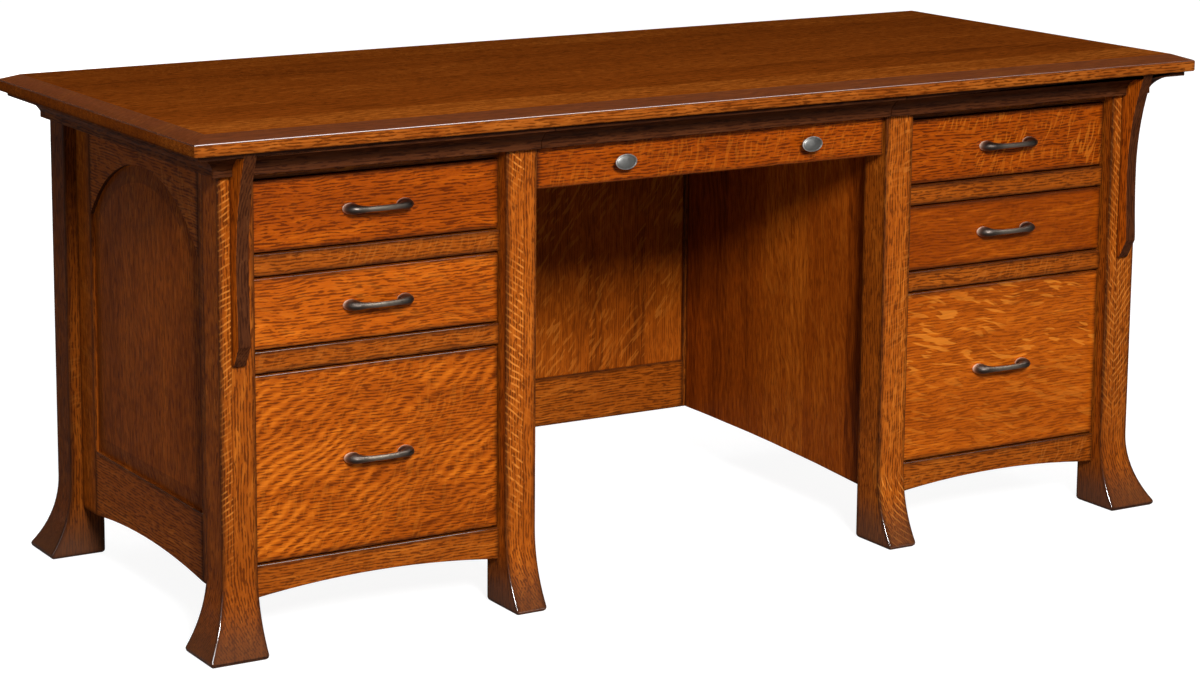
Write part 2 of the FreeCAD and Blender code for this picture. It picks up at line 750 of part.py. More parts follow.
# Hidden boards
def make_hidden_boards(back_leg, slide_heights):
    length = f"{LEG_IN_Y} + {BACK_IN_Y}"
    between_legs = f"2 * {LEG_IN_Y}"
    front = f"-{LEG_IN_Y}"
    blank = board(
        "dust_board_blank",
        (f"{FRAME_IN_X} - {INNER_BACK_X}", length, "dust_board_thickness"),
        (f"-{FRAME_IN_X}", front, f"{FILE_Z} - dust_board_drop - dust_board_thickness"),
    )
    dust = cut("dust_board_left", blank, [back_leg])
    boards = [dust, mirrored("dust_board_right", dust, ACROSS)]
    node("dust_boards", compound("dust_boards", boards))
    cleats = []
    outer = ("outer", f"-{FRAME_IN_X}", f"({FRAME_IN_X} - {LEG_IN_X})")
    inner = ("inner", f"-{INNER_LEG_X}", f"({INNER_LEG_X} - {INNER_BACK_X})")
    knee = ("knee", f"-{INNER_SIDE_X}", f"({INNER_SIDE_X} - {KNEE_X})")
    for drawer, height in slide_heights.items():
        for kind, x, wide in [knee] if drawer == "center" else [outer, inner]:
            run = between_legs if kind == "outer" else length
            corner = (x, front, f"{height} - cleat_height / 2")
            cleats.append(board(f"cleat_{kind}_{drawer}", (wide, run, "cleat_height"), corner))
    left = compound("cleats_left", cleats)
    right = mirrored("cleats_right", left, ACROSS)
    node("slide_cleats", compound("slide_cleats", [left, right]))
    z = f"{UNDERSIDE} - batten_size"
    size = ("batten_size", between_legs, "batten_size")
    side = board("batten_side", size, (f"-{FRAME_IN_X}", front, z))
    knee_side = board("batten_knee", size, (f"-{INNER_BACK_X} - batten_size", front, z))
    sides = [side, knee_side]
    sides += [mirrored(piece.Name + "_right", piece, ACROSS) for piece in (side, knee_side)]
    span = f"2 * {INNER_SIDE_X}"
    rear = ("batten_back", (span, "batten_size", "batten_size"))
    sides.append(board(*rear, (f"-{INNER_SIDE_X}", f"{BACK_IN_Y} - batten_size", z)))
    node("top_battens", compound("top_battens", sides))


# Drawers
def drawer_front(name, x0, z0, wide, tall, face_y):
    body = new_body(name, x0, f"-{face_y}", z0)
    plate = rectangle("0", "0", wide, tall)
    pad(body, name + "_pad", "XZ_Plane", plate, "front_thickness", "-front_thickness")
    ease(body, "front_arris", lambda edge: edge.BoundBox.YMax < 0.01)
    return body


def dovetailed_side(name, x, y, z, tall, tails):
    """A drawer side with tails cut on both ends."""
    body = new_body(name, x, y, z)
    pad(body, name + "_pad", "YZ_Plane", rectangle("0", "0", BOX_LENGTH, tall), "box_board")
    narrow = "pin_width / 2"
    broad = "(pin_width / 2 + tail_slope * box_board)"
    ends = [("front", "0", "box_board"), ("back", BOX_LENGTH, f"{BOX_LENGTH} - box_board")]
    sockets = []
    for end, tip, base in ends:
        socket = [(tip, f"-{narrow}"), (base, f"-{broad}"), (base, broad), (tip, narrow)]
        sockets.append(pocket_through(body, f"{name}_{end}_socket", "YZ_Plane", socket))
    row = body.newObject("PartDesign::LinearPattern", name + "_tails")
    row.Originals = sockets
    row.Direction = (sockets[0].Profile[0], ["V_Axis"])
    drive(row, "Length", tall)
    drive(row, "Occurrences", f"{tails} + 1")
    body.Tip = row
    return body


def drawer_box(name, x0, y0, z0, wide, tall, tails):
    """Dovetailed sides, pinned front and back boards, and a bottom let into grooves."""
    far_x = f"{x0} + {wide} - box_board"
    left = dovetailed_side(name + "_side_left", x0, y0, z0, tall, tails)
    right = dovetailed_side(name + "_side_right", far_x, y0, z0, tall, tails)
    inset = "(box_board - groove_depth)"
    low = f"{z0} + bottom_rise"
    size = (f"{wide} - 2 * {inset}", f"{BOX_LENGTH} - 2 * {inset}", "bottom_board")
    groove = board(name + "_groove", size, (f"{x0} + {inset}", f"{y0} + {inset}", low))
    inset = f"({inset} + groove_clearance)"
    size = (f"{wide} - 2 * {inset}", f"{BOX_LENGTH} - 2 * {inset}", "bottom_board")
    pieces = [board(name + "_bottom", size, (f"{x0} + {inset}", f"{y0} + {inset}", low))]
    for end, y in (("front", y0), ("back", f"{y0} + {BOX_LENGTH} - box_board")):
        blank = board(f"{name}_{end}_blank", (wide, "box_board", tall), (x0, y, z0))
        pieces.append(cut(f"{name}_{end}", blank, [left, right, groove]))
    pieces += [cut(side.Name + "_grooved", side, [groove]) for side in (left, right)]
    return compound(name, pieces)


def channel(name, face, sign, web, rim, half, z, y):
    """A folded slide member. web and rim are the channel's depths from the face it hangs on."""
    bend = "+" if value(rim) > value(web) else "-"
    wall = f"({web} {bend} slide_metal)"
    inside = f"({half} - slide_metal)"
    section = [
        (web, f"-{half}"),
        (rim, f"-{half}"),
        (rim, f"-{inside}"),
        (wall, f"-{inside}"),
        (wall, inside),
        (rim, inside),
        (rim, half),
        (web, half),
    ]
    flipped = [(f"{sign}({x})", height) for x, height in section]
    return prism(name, "XZ_Plane", flipped, SLIDE_LENGTH, f"-{SLIDE_LENGTH}", face, y, z)


SLIDE_HALF = "(slide_height / 2)"
STEP = "(slide_metal + slide_clearance)"
SLIDE_MEMBERS = {
    "outer": ("0", "slide_flange", SLIDE_HALF),
    "middle": (STEP, f"(slide_thickness - {STEP})", f"({SLIDE_HALF} - {STEP})"),
    "inner": ("slide_thickness", f"(2 * {STEP})", f"({SLIDE_HALF} - 2 * {STEP})"),
}


def slide_pair(drawer, member, x0, x1, y, z):
    web, rim, half = SLIDE_MEMBERS[member]
    return [
        channel(f"{drawer}_slide_{member}_left", x0, "+", web, rim, half, z, y),
        channel(f"{drawer}_slide_{member}_right", x1, "-", web, rim, half, z, y),
    ]


def oval(length, width, sides):
    """Corners of an oval section of that length and width."""
    turns = [2 * math.pi * index / sides for index in range(sides)]
    return [
        (f"({length}) / 2 * {math.cos(turn):.6f}", f"({width}) / 2 * {math.sin(turn):.6f}")
        for turn in turns
    ]


def make_pull(name, x, y, z):
    """A cast bow pull: its round feet swell, bend over and draw down to a slim bowed bar."""
    body = new_body(name, x, y, z)
    half = "pull_feet / 2"
    # Each station: its inset from the foot, its rise from the drawer, its radius and its lean
    stations = [
        ("0", "0", "pull_foot_radius", 0),
        ("pull_swell_inset", "pull_swell_rise", "pull_swell_radius", 22),
        ("pull_bend_inset", "pull_bend_rise", "pull_bend_radius", 45),
        ("pull_neck_inset", "pull_neck_rise", "pull_neck_radius", 66),
        ("pull_bow_inset", "pull_bow_rise", "pull_bar_radius", 82),
        (half, "pull_reach", "pull_bar_radius", 90),
    ]
    run = [("-", *station) for station in stations]
    run += [("", inset, rise, radius, 180 - lean) for inset, rise, radius, lean in stations[-2::-1]]
    sections = []
    for index, (sign, inset, rise, radius, lean) in enumerate(run):
        corners = oval(f"2 * {radius}", f"2 * {radius}", PULL_SIDES)
        sketch = outline(body, f"{name}_section_{index}", "XZ_Plane", corners)
        turn = FreeCAD.Rotation(V(0, 1, 0), lean)
        sketch.AttachmentOffset = FreeCAD.Placement(V(0, 0, 0), turn)
        drive(sketch, "AttachmentOffset.Base.x", f"{sign}({half} - {inset})")
        drive(sketch, "AttachmentOffset.Base.z", rise)
        sections.append(sketch)
    loft_through(body, name + "_loft", sections)
    return body


def make_knob(name, x, y, z):
    """An oval knob: a waisted stem, an undercut head with a thin rim and a slightly domed face."""
    body = new_body(name, x, y, z)
    stations = [
        ("0", "knob_stem_length", "knob_stem_width"),
        ("knob_waist_rise", "knob_stem_length - 2 * knob_waist", "knob_stem_width - 2 * knob_waist"),
        ("knob_rim_rise", "knob_length", "knob_width"),
        ("knob_rim_rise + knob_rim", "knob_length", "knob_width"),
        ("knob_face_rise", "knob_length - 2 * knob_rim", "knob_width - 2 * knob_rim"),
        ("knob_reach", "knob_length - 2 * knob_dome", "knob_width - 2 * knob_dome"),
    ]
    sections = [
        outline(body, f"{name}_oval_{index}", "XZ_Plane", oval(length, width, KNOB_SIDES), rise)
        for index, (rise, length, width) in enumerate(stations)
    ]
    loft_through(body, name + "_loft", sections)
    return body


# The six pedestal drawers: opening's foot, its height, the box's height and its tails
BANK_DRAWERS = {
    "upper": (UPPER_Z, "box_opening", "box_height", "box_tails"),
    "middle": (MIDDLE_Z, "box_opening", "box_height", "box_tails"),
    "file": (FILE_Z, FILE_OPENING, FILE_BOX, "file_tails"),
}


def slide_height(drawer):
    if drawer == "center":
        return f"({CENTER_Z} + center_box_lift + center_box_height / 2)"
    foot, _, tall, _ = BANK_DRAWERS[drawer]
    return f"({foot} + box_lift + {tall} / 2)"


def make_bank_drawers(outer_members):
    for side, sign in (("left", "-"), ("right", "+")):
        near = f"-{LEG_IN_X}" if sign == "-" else INNER_LEG_X
        far = f"-{INNER_LEG_X}" if sign == "-" else LEG_IN_X
        for row, (foot, opening, tall, tails) in BANK_DRAWERS.items():
            name = f"drawer_{side}_{row}"
            wide = f"{BANK_WIDTH} - 2 * drawer_side_gap"
            high = f"{opening} - 2 * drawer_gap"
            x0 = f"{near} + drawer_side_gap"
            front = drawer_front(name + "_front", x0, f"{foot} + drawer_gap", wide, high, FACE_Y)
            node(name + "_front", front)
            behind = f"-{FACE_Y} + front_thickness"
            box_x = f"{near} + slide_thickness"
            box_wide = f"({BANK_WIDTH} - 2 * slide_thickness)"
            box_z = f"({foot} + box_lift)"
            box = drawer_box(name + "_box", box_x, behind, box_z, box_wide, tall, tails)
            node(name + "_box", box)
            middle_z = f"{foot} + {opening} / 2"
            node(name + "_pull", make_pull(name + "_pull", f"{sign}{BANK_X}", f"-{FACE_Y}", middle_z))
            add_slides(name, near, far, behind, slide_height(row), outer_members)


def add_slides(name, near, far, behind, height, outer_members):
    y = f"{behind} + slide_start"
    for member in ("inner", "middle"):
        pair = slide_pair(name, member, near, far, y, height)
        node(f"{name}_slide_{member}", compound(f"{name}_slide_{member}", pair))
    outer_members += slide_pair(name, "outer", near, far, y, height)


def make_center_drawer(outer_members):
    name = "drawer_center"
    x0 = f"-{KNEE_X} + drawer_side_gap"
    wide = "kneehole_width - 2 * drawer_side_gap"
    high = "center_front_height"
    front = drawer_front(name + "_front", x0, CENTER_Z, wide, high, CENTER_FACE_Y)
    node(name + "_front", front)
    edge = cove_profile("top_depth / 2", "-")
    back = f"-{CENTER_FACE_Y}"
    edge[0] = (back, edge[0][1])
    edge[-1] = (back, f"{UNDERSIDE} - center_top_gap")
    edge[-2] = (edge[-2][0], f"{UNDERSIDE} - center_top_gap")
    length = "kneehole_width - 2 * center_moulding_gap"
    start = f"-{KNEE_X} + center_moulding_gap"
    cove = prism(name + "_cove", "YZ_Plane", edge, length, x=start)
    node(name + "_moulding", cove)
    behind = f"-{CENTER_FACE_Y} + front_thickness"
    box_x = f"-{KNEE_X} + slide_thickness"
    box_wide = "(kneehole_width - 2 * slide_thickness)"
    box_z = f"({CENTER_Z} + center_box_lift)"
    tall = "center_box_height"
    box = drawer_box(name + "_box", box_x, behind, box_z, box_wide, tall, "box_tails")
    node(name + "_box", box)
    low_visible = f"{UNDERSIDE} - moulding_height"
    knob_z = f"({CENTER_Z} + {low_visible}) / 2"
    knobs = [
        make_knob(f"knob_{side}", f"{sign}knob_spacing / 2", back, knob_z)
        for side, sign in (("left", "-"), ("right", "+"))
    ]
    node(name + "_knobs", compound(name + "_knobs", knobs))
    add_slides(name, f"-{KNEE_X}", KNEE_X, behind, slide_height("center"), outer_members)


def check_and_write():
    doc.recompute()
    for item in doc.Objects:
        if "Invalid" in item.State or "Error" in item.State:
            raise RuntimeError("%s did not build: %s" % (item.Label, item.State))
    for name, item in NODES.items():
        if item.Shape.isNull() or not item.Shape.isValid() or not item.Shape.Solids:
            raise RuntimeError("%s has no valid solid" % name)
    os.makedirs("parts", exist_ok=True)
    for name, item in NODES.items():
        item.Shape.exportStep("parts/%s.step" % name)


make_top()
leg_blanks = make_leg_blanks()
left_corbel = make_corbel()
right_corbel = mirrored("corbel_right", left_corbel, ACROSS)
node("corbels", compound("corbels", [left_corbel, right_corbel]))
make_mouldings(leg_blanks, left_corbel)
make_side_frame()
make_side_panels()
make_back()
make_inner_sides()
make_rails()
make_legs(leg_blanks)
slide_rows = {row: slide_height(row) for row in ("upper", "middle", "file", "center")}
make_hidden_boards(leg_blanks["leg_back_left"], slide_rows)
slide_outers = []
make_bank_drawers(slide_outers)
make_center_drawer(slide_outers)
node("slide_outer_members", compound("slide_outer_members", slide_outers))
check_and_write()
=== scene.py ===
import json
import math
import random

import bmesh
import bpy
from mathutils import Matrix, Vector


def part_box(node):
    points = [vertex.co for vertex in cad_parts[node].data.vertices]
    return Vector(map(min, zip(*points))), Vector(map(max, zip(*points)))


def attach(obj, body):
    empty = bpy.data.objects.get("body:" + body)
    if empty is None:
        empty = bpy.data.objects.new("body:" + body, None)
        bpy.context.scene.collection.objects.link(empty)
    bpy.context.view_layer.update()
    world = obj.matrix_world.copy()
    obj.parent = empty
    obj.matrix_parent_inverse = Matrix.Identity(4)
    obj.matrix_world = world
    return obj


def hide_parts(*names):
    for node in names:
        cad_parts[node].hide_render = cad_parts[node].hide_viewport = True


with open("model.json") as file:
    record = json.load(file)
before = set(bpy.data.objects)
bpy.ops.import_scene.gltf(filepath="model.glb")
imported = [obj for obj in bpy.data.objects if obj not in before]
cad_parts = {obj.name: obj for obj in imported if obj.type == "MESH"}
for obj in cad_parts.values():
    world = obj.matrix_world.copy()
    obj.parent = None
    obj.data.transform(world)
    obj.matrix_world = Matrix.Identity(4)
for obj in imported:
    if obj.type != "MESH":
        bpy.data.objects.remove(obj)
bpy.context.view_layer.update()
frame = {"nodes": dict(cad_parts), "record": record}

RECORD = frame["record"]
BODY_OF = {node: body for body, nodes in RECORD["behaviour"]["bodies"].items() for node in nodes}
SLOT_OF = {part["node"]: part["material_slot"] for part in RECORD["subparts"]}

# Linear colours of the stained oak: deep, middle, light and the pale rays
FRONT_TONES = ((0.110, 0.0175, 0.0010), (0.36, 0.070, 0.0028), (0.60, 0.148, 0.0080), (0.72, 0.225, 0.020))
CASE_TONES = ((0.100, 0.0180, 0.0014), (0.31, 0.066, 0.0040), (0.52, 0.140, 0.012), (0.66, 0.215, 0.030))
TOP_TONES = ((0.080, 0.0155, 0.0016), (0.195, 0.042, 0.0040), (0.32, 0.086, 0.010), (0.36, 0.108, 0.015))
# The dark tones: the mouldings' browner oak, mostly darkened as painted shade, also on corbels' fronts and
# arches' undersides
DARK_AND_SHADED_TONES = ((0.026, 0.0062, 0.0016), (0.062, 0.0165, 0.0044), (0.10, 0.031, 0.009), (0.13, 0.045, 0.013))
PANEL_TONES = ((0.095, 0.0165, 0.0012), (0.27, 0.055, 0.0030), (0.46, 0.116, 0.008), (0.60, 0.185, 0.020))
BOX_TONES = ((0.42, 0.25, 0.11), (0.56, 0.36, 0.18), (0.66, 0.46, 0.26), (0.72, 0.54, 0.33))

# Linear colours of the arrises, darkened by built-up stain and by painted shade, and of the feet, a darker
# stain with a painted grey sheen
ARRIS_STAIN_AND_SHADE = (0.016, 0.0045, 0.0015)
FOOT_BROWN_AND_SHEEN = (0.064, 0.025, 0.0115)

# What is left of the green and the blue in a redder tone; on the kneehole's walls that is a painted redder
# shade
REDDER_GREEN = 0.86
REDDER_BLUE = 0.6

# Paces of the oak's patterns to the metre: along the grain, across it and into the board
WAVER_PACE = (9, 14, 14)
CLOUD_PACE = (2.5, 18, 18)
LINE_PACE = (22, 420, 420)
PORE_PACE = (55, 350, 350)
FLAME_PATCH_PACE = (8, 20, 20)
RAY_PATCH_PACE = (6, 14, 14)
HATCH_BREAK_PACE = (90, 110, 20)
ARC_BREAK_PACE = (40, 60, 20)

# Values of a pattern between which its marks come up
FLAME_EDGE = (0.3, 0.6)
PORE_EDGE = (0.58, 0.69)
RAY_EDGE = (0.55, 0.62)
RAY_PATCH_EDGE = (0.34, 0.54)
HATCH_EDGE = (0.66, 0.97)
HATCH_BREAK_EDGE = (0.35, 0.55)
ARC_EDGE = (0.8, 0.97)
ARC_BREAK_EDGE = (0.35, 0.6)

# Rows of pores and of arcs to the metre, and how many rows the marks wander
PORE_ROWS = 215
ARC_ROWS = 110
FLAME_WANDER = 3.0
PORE_WANDER = 2.0
HATCH_WANDER = 2.0
ARC_WANDER = 0.8

# How far the lines and the rays wander, in metres
LINE_WANDER = 0.02
RAY_WANDER = 0.03

# Shares of the patterns in the wood's tone, a flame's usual value and how far the tones lie apart
CLOUD_SHARE = 0.9
LINE_SHARE = 0.6
BOARD_SHARE = 0.3
FLAME_MEAN = 0.3
TONE_STEP = 0.3

# Shares of the rows and the flames in the pores
ROW_SHARE = 0.2
FLAME_THINNING = 0.5

# From board to board of a panel: how far the pattern jumps, and the most figure
BOARD_JUMP = 7.3
BOARD_FIGURE = 1.5

# The middle of the ray arcs in a foot: across the leg and above the floor
ARC_MIDDLE = (0.10, 0.15, 0)

# Heights on a leg between which the foot's darker tone, a stain with a painted grey sheen, and its arcs fade
# out and the leg's figure comes up
FOOT_TONE_HEIGHTS = (0.012, 0.10)
ARC_HEIGHTS = (0.10, 0.13)
FIGURE_HEIGHTS = (0.10, 0.24)
LEAST_FIGURE = 0.1

# Distances from a wide face, a glue line and an arris over which their looks change
FACE_FADE = (0.002, 0.003)
GLUE_FADE = (0.0002, 0.0011)
STAIN_AND_SHADE_FADE = (0.0025, 0.0135)
STAIN_AND_SHADE_RAGGED = 0.007
POLISH_FADE = (0.0008, 0.003)
RELIEF_FADE = (0.001, 0.004)

# The lacquer, the gloss and the relief of the wood
UPWARD_EDGE = (0.1, 0.4)
FOOT_POLISH = 0.3
COAT_ROUGHNESS = 0.14
COAT_IOR = 2.0
GLOSS_EDGE = (0.3, 0.7)
GLOSS_ROUGHNESS = (0.6, 0.5)
LINE_RELIEF = 0.5
PORE_RELIEF = -0.6
LEAST_RELIEF = 0.02
RELIEF_DEPTH = 0.0003

# Cast metal: pace and darkness of the mottle, where it is rubbed or carries a painted highlight, and how
# that changes the metal
MOTTLE_PACE = (170, 170, 170)
MOTTLE_DARK = 0.45
MOTTLE_EDGE = (0.35, 0.7)
RUBBED_AND_LIT_EDGE = (0.2, 0.5)
RUBBED_AND_LIT_LEAST = 0.6
RUBBED_AND_LIT_LOSS = -0.75
METAL_GLOSS = (-0.05, 0.1)

# Boards of the top and the kneehole's panels, and how far a joint lies from a panel's middle
TOP_BOARD = 0.127
KNEE_BOARD = 0.117
KNEE_SEAM = 0.141


# Shader nodes
def add(tree, kind, inputs=None, **settings):
    """A new shader node with its inputs linked or set."""
    made = tree.nodes.new(kind)
    for name, setting in settings.items():
        setattr(made, name, setting)
    for key, entry in (inputs or {}).items():
        if isinstance(entry, bpy.types.NodeSocket):
            tree.links.new(entry, made.inputs[key])
        else:
            made.inputs[key].default_value = entry
    return made


def calc(tree, operation, first, second=0.0, third=0.0):
    return add(tree, "ShaderNodeMath", {0: first, 1: second, 2: third}, operation=operation).outputs[0]


def times(tree, first, *others):
    """The product of sockets and numbers."""
    for other in others:
        first = calc(tree, "MULTIPLY", first, other)
    return first


def total(tree, *terms):
    """The sum of terms, each a socket and its weight."""
    result = 0.0
    for socket, weight in terms:
        result = calc(tree, "ADD", times(tree, socket, weight), result)
    return result


def blend(tree, factor, first, second):
    """A colour between two."""
    inputs = {0: factor}
    for index, entry in ((6, first), (7, second)):
        inputs[index] = entry if isinstance(entry, bpy.types.NodeSocket) else (*entry, 1)
    return add(tree, "ShaderNodeMix", inputs, data_type="RGBA").outputs[2]


def choose(tree, factor, first, second):
    """A value between two."""
    return add(tree, "ShaderNodeMix", {0: factor, 2: first, 3: second}, data_type="FLOAT").outputs[0]


def ramp(tree, value, low, high, to_low=0.0, to_high=1.0):
    """value carried smoothly from low..high to to_low..to_high."""
    inputs = {"Value": value, "From Min": low, "From Max": high, "To Min": to_low, "To Max": to_high}
    return add(tree, "ShaderNodeMapRange", inputs, interpolation_type="SMOOTHSTEP").outputs[0]


def noise(tree, vector, pace, detail=2.0):
    scaled = add(tree, "ShaderNodeVectorMath", {0: vector, 1: pace}, operation="MULTIPLY").outputs[0]
    inputs = {"Vector": scaled, "Scale": 1.0, "Detail": detail}
    return add(tree, "ShaderNodeTexNoise", inputs).outputs["Fac"]


def stored(tree, name):
    """A vector that each board's mesh stores."""
    return add(tree, "ShaderNodeAttribute", attribute_name=name).outputs["Vector"]


def parts_of(tree, vector):
    return add(tree, "ShaderNodeSeparateXYZ", {0: vector}).outputs


def joined(tree, x, y, z):
    return add(tree, "ShaderNodeCombineXYZ", {0: x, 1: y, 2: z}).outputs[0]


def new_material(name):
    material = bpy.data.materials.new(name)
    material.use_nodes = True
    tree = material.node_tree
    return material, tree, tree.nodes["Principled BSDF"]


# Marks in the wood
def room_left(tree):
    """How far a point lies from the ends, the edges and the faces of its board."""
    size = add(tree, "ShaderNodeVectorMath", {0: stored(tree, "local")}, operation="ABSOLUTE").outputs[0]
    room = add(tree, "ShaderNodeVectorMath", {0: stored(tree, "span"), 1: size}, operation="SUBTRACT")
    return parts_of(tree, room.outputs[0])


def nearest_arris(tree, room):
    """How far a point lies from the nearest arris.

    On any face one of the three distances is nothing, so the middle one counts.
    """
    low = calc(tree, "MINIMUM", room[0], room[1])
    high = calc(tree, "MAXIMUM", room[0], room[1])
    return calc(tree, "MAXIMUM", low, calc(tree, "MINIMUM", high, room[2]))


def turned(tree, place, angle):
    """Coordinates along and across a direction at that angle to the grain."""
    cosine = math.cos(math.radians(angle))
    sine = math.sin(math.radians(angle))
    run = total(tree, (place[0], cosine), (place[1], sine))
    side = total(tree, (place[1], cosine), (place[0], -sine))
    return run, side


def stripes(tree, place, angle, pace, waver, wander):
    """Wavering stripes at that angle to the grain, pace of them to the metre."""
    side = turned(tree, place, angle)[1]
    phase = total(tree, (side, 2 * math.pi * pace), (waver, 2 * math.pi * wander))
    return calc(tree, "MULTIPLY_ADD", calc(tree, "SINE", phase), 0.5, 0.5)


def flakes(tree, place, angle, pace, waver):
    """Broken streaks at that angle to the grain, with their pace along and across."""
    run, side = turned(tree, place, angle)
    side = total(tree, (side, 1.0), (waver, RAY_WANDER))
    return noise(tree, joined(tree, run, side, place[2]), (*pace, pace[0]), detail=1.0)


class Grain:
    """Where a point lies in its board, which all the marks in the wood are drawn by."""

    def __init__(self, tree, boards):
        self.tree = tree
        self.along, self.across, self.depth = parts_of(tree, stored(tree, "grain"))
        lengthways, self.sideways, _ = parts_of(tree, stored(tree, "local"))
        half_length = parts_of(tree, stored(tree, "span"))[0]
        self.level = total(tree, (lengthways, 1.0), (half_length, 1.0))
        self.board_tone = 0.5
        if boards:
            index = calc(tree, "FLOOR", calc(tree, "DIVIDE", self.across, boards))
            draw = add(tree, "ShaderNodeTexWhiteNoise", {"W": index}, noise_dimensions="1D")
            self.board_tone = draw.outputs["Value"]
            self.along = total(tree, (self.along, 1.0), (self.board_tone, BOARD_JUMP))
        self.straight = joined(tree, self.along, self.across, self.depth)
        self.waver = noise(tree, self.straight, WAVER_PACE)
        bent = total(tree, (self.across, 1.0), (self.waver, LINE_WANDER))
        self.wavy = joined(tree, self.along, bent, self.depth)
        room = room_left(tree)
        self.wide_face = ramp(tree, room[2], *FACE_FADE, 1.0, 0.0)
        self.arris = nearest_arris(tree, room)

    def patches(self, pace, edge):
        """Soft patches in which a mark shows."""
        return ramp(self.tree, noise(self.tree, self.straight, pace), *edge)


def flame_marks(grain, angle, pace):
    """Broad flames, where the dark pores thin out."""
    flame = stripes(grain.tree, (grain.along, grain.across), angle, pace, grain.waver, FLAME_WANDER)
    return times(grain.tree, flame, grain.patches(FLAME_PATCH_PACE, FLAME_EDGE))


def pore_marks(grain, flame, strength):
    """Short dark pores in rows, fewer of them in a flame."""
    tree = grain.tree
    inward = total(tree, (grain.across, 1.0), (grain.depth, 1.0))
    rows = stripes(tree, (grain.along, inward), 0, PORE_ROWS, grain.waver, PORE_WANDER)
    pores = noise(tree, grain.wavy, PORE_PACE)
    pores = total(tree, (pores, 1.0), (rows, ROW_SHARE), (flame, -strength * FLAME_THINNING))
    return ramp(tree, pores, *PORE_EDGE)


def ray_marks(grain, crossing, rays, hatch):
    """Rays cross the grain in thin broken streaks, gathered in patches and seen on the wide faces only."""
    tree = grain.tree
    if hatch:
        rows = stripes(tree, (grain.along, crossing), *hatch, grain.waver, HATCH_WANDER)
        breaks = grain.patches(HATCH_BREAK_PACE, HATCH_BREAK_EDGE)
        ray = times(tree, ramp(tree, rows, *HATCH_EDGE), breaks)
    else:
        streaks = flakes(tree, (grain.along, crossing, grain.depth), rays[0], rays[1:], grain.waver)
        ray = ramp(tree, streaks, *RAY_EDGE)
    return times(tree, ray, grain.patches(RAY_PATCH_PACE, RAY_PATCH_EDGE), grain.wide_face)


def arc_marks(grain, strength):
    """The curve of a foot lays the rays open as long arcs."""
    tree = grain.tree
    spot = joined(tree, grain.sideways, grain.level, 0.0)
    radius = add(tree, "ShaderNodeVectorMath", {0: spot, 1: ARC_MIDDLE}, operation="DISTANCE")
    rows = stripes(tree, (grain.along, radius.outputs["Value"]), 0, ARC_ROWS, grain.waver, ARC_WANDER)
    breaks = grain.patches(ARC_BREAK_PACE, ARC_BREAK_EDGE)
    fade = ramp(tree, grain.level, *ARC_HEIGHTS, strength, 0.0)
    return times(tree, ramp(tree, rows, *ARC_EDGE), breaks, fade, grain.wide_face)


def lay_lacquer(grain, shader, foot, coat):
    """A thin lacquer, which rubbing has polished on the feet and the arrises that face up."""
    tree = grain.tree
    upward = parts_of(tree, add(tree, "ShaderNodeNewGeometry").outputs["Normal"])[2]
    polish = ramp(tree, grain.arris, *POLISH_FADE, 1.0, 0.0)
    polish = times(tree, polish, ramp(tree, upward, *UPWARD_EDGE))
    polish = calc(tree, "MAXIMUM", polish, times(tree, foot, FOOT_POLISH))
    tree.links.new(calc(tree, "MAXIMUM", polish, coat), shader.inputs["Coat Weight"])
    shader.inputs["Coat Roughness"].default_value = COAT_ROUGHNESS
    shader.inputs["Coat IOR"].default_value = COAT_IOR


def lay_relief(grain, shader, lines, pores, pitted):
    """The lines and the open pores in the surface, rubbed smooth on the arrises."""
    tree = grain.tree
    height = total(tree, (lines, LINE_RELIEF), (pores, PORE_RELIEF))
    strength = ramp(tree, grain.arris, *RELIEF_FADE, LEAST_RELIEF, pitted)
    bump = add(tree, "ShaderNodeBump", {"Strength": strength, "Distance": RELIEF_DEPTH, "Height": height})
    tree.links.new(bump.outputs[0], shader.inputs["Normal"])


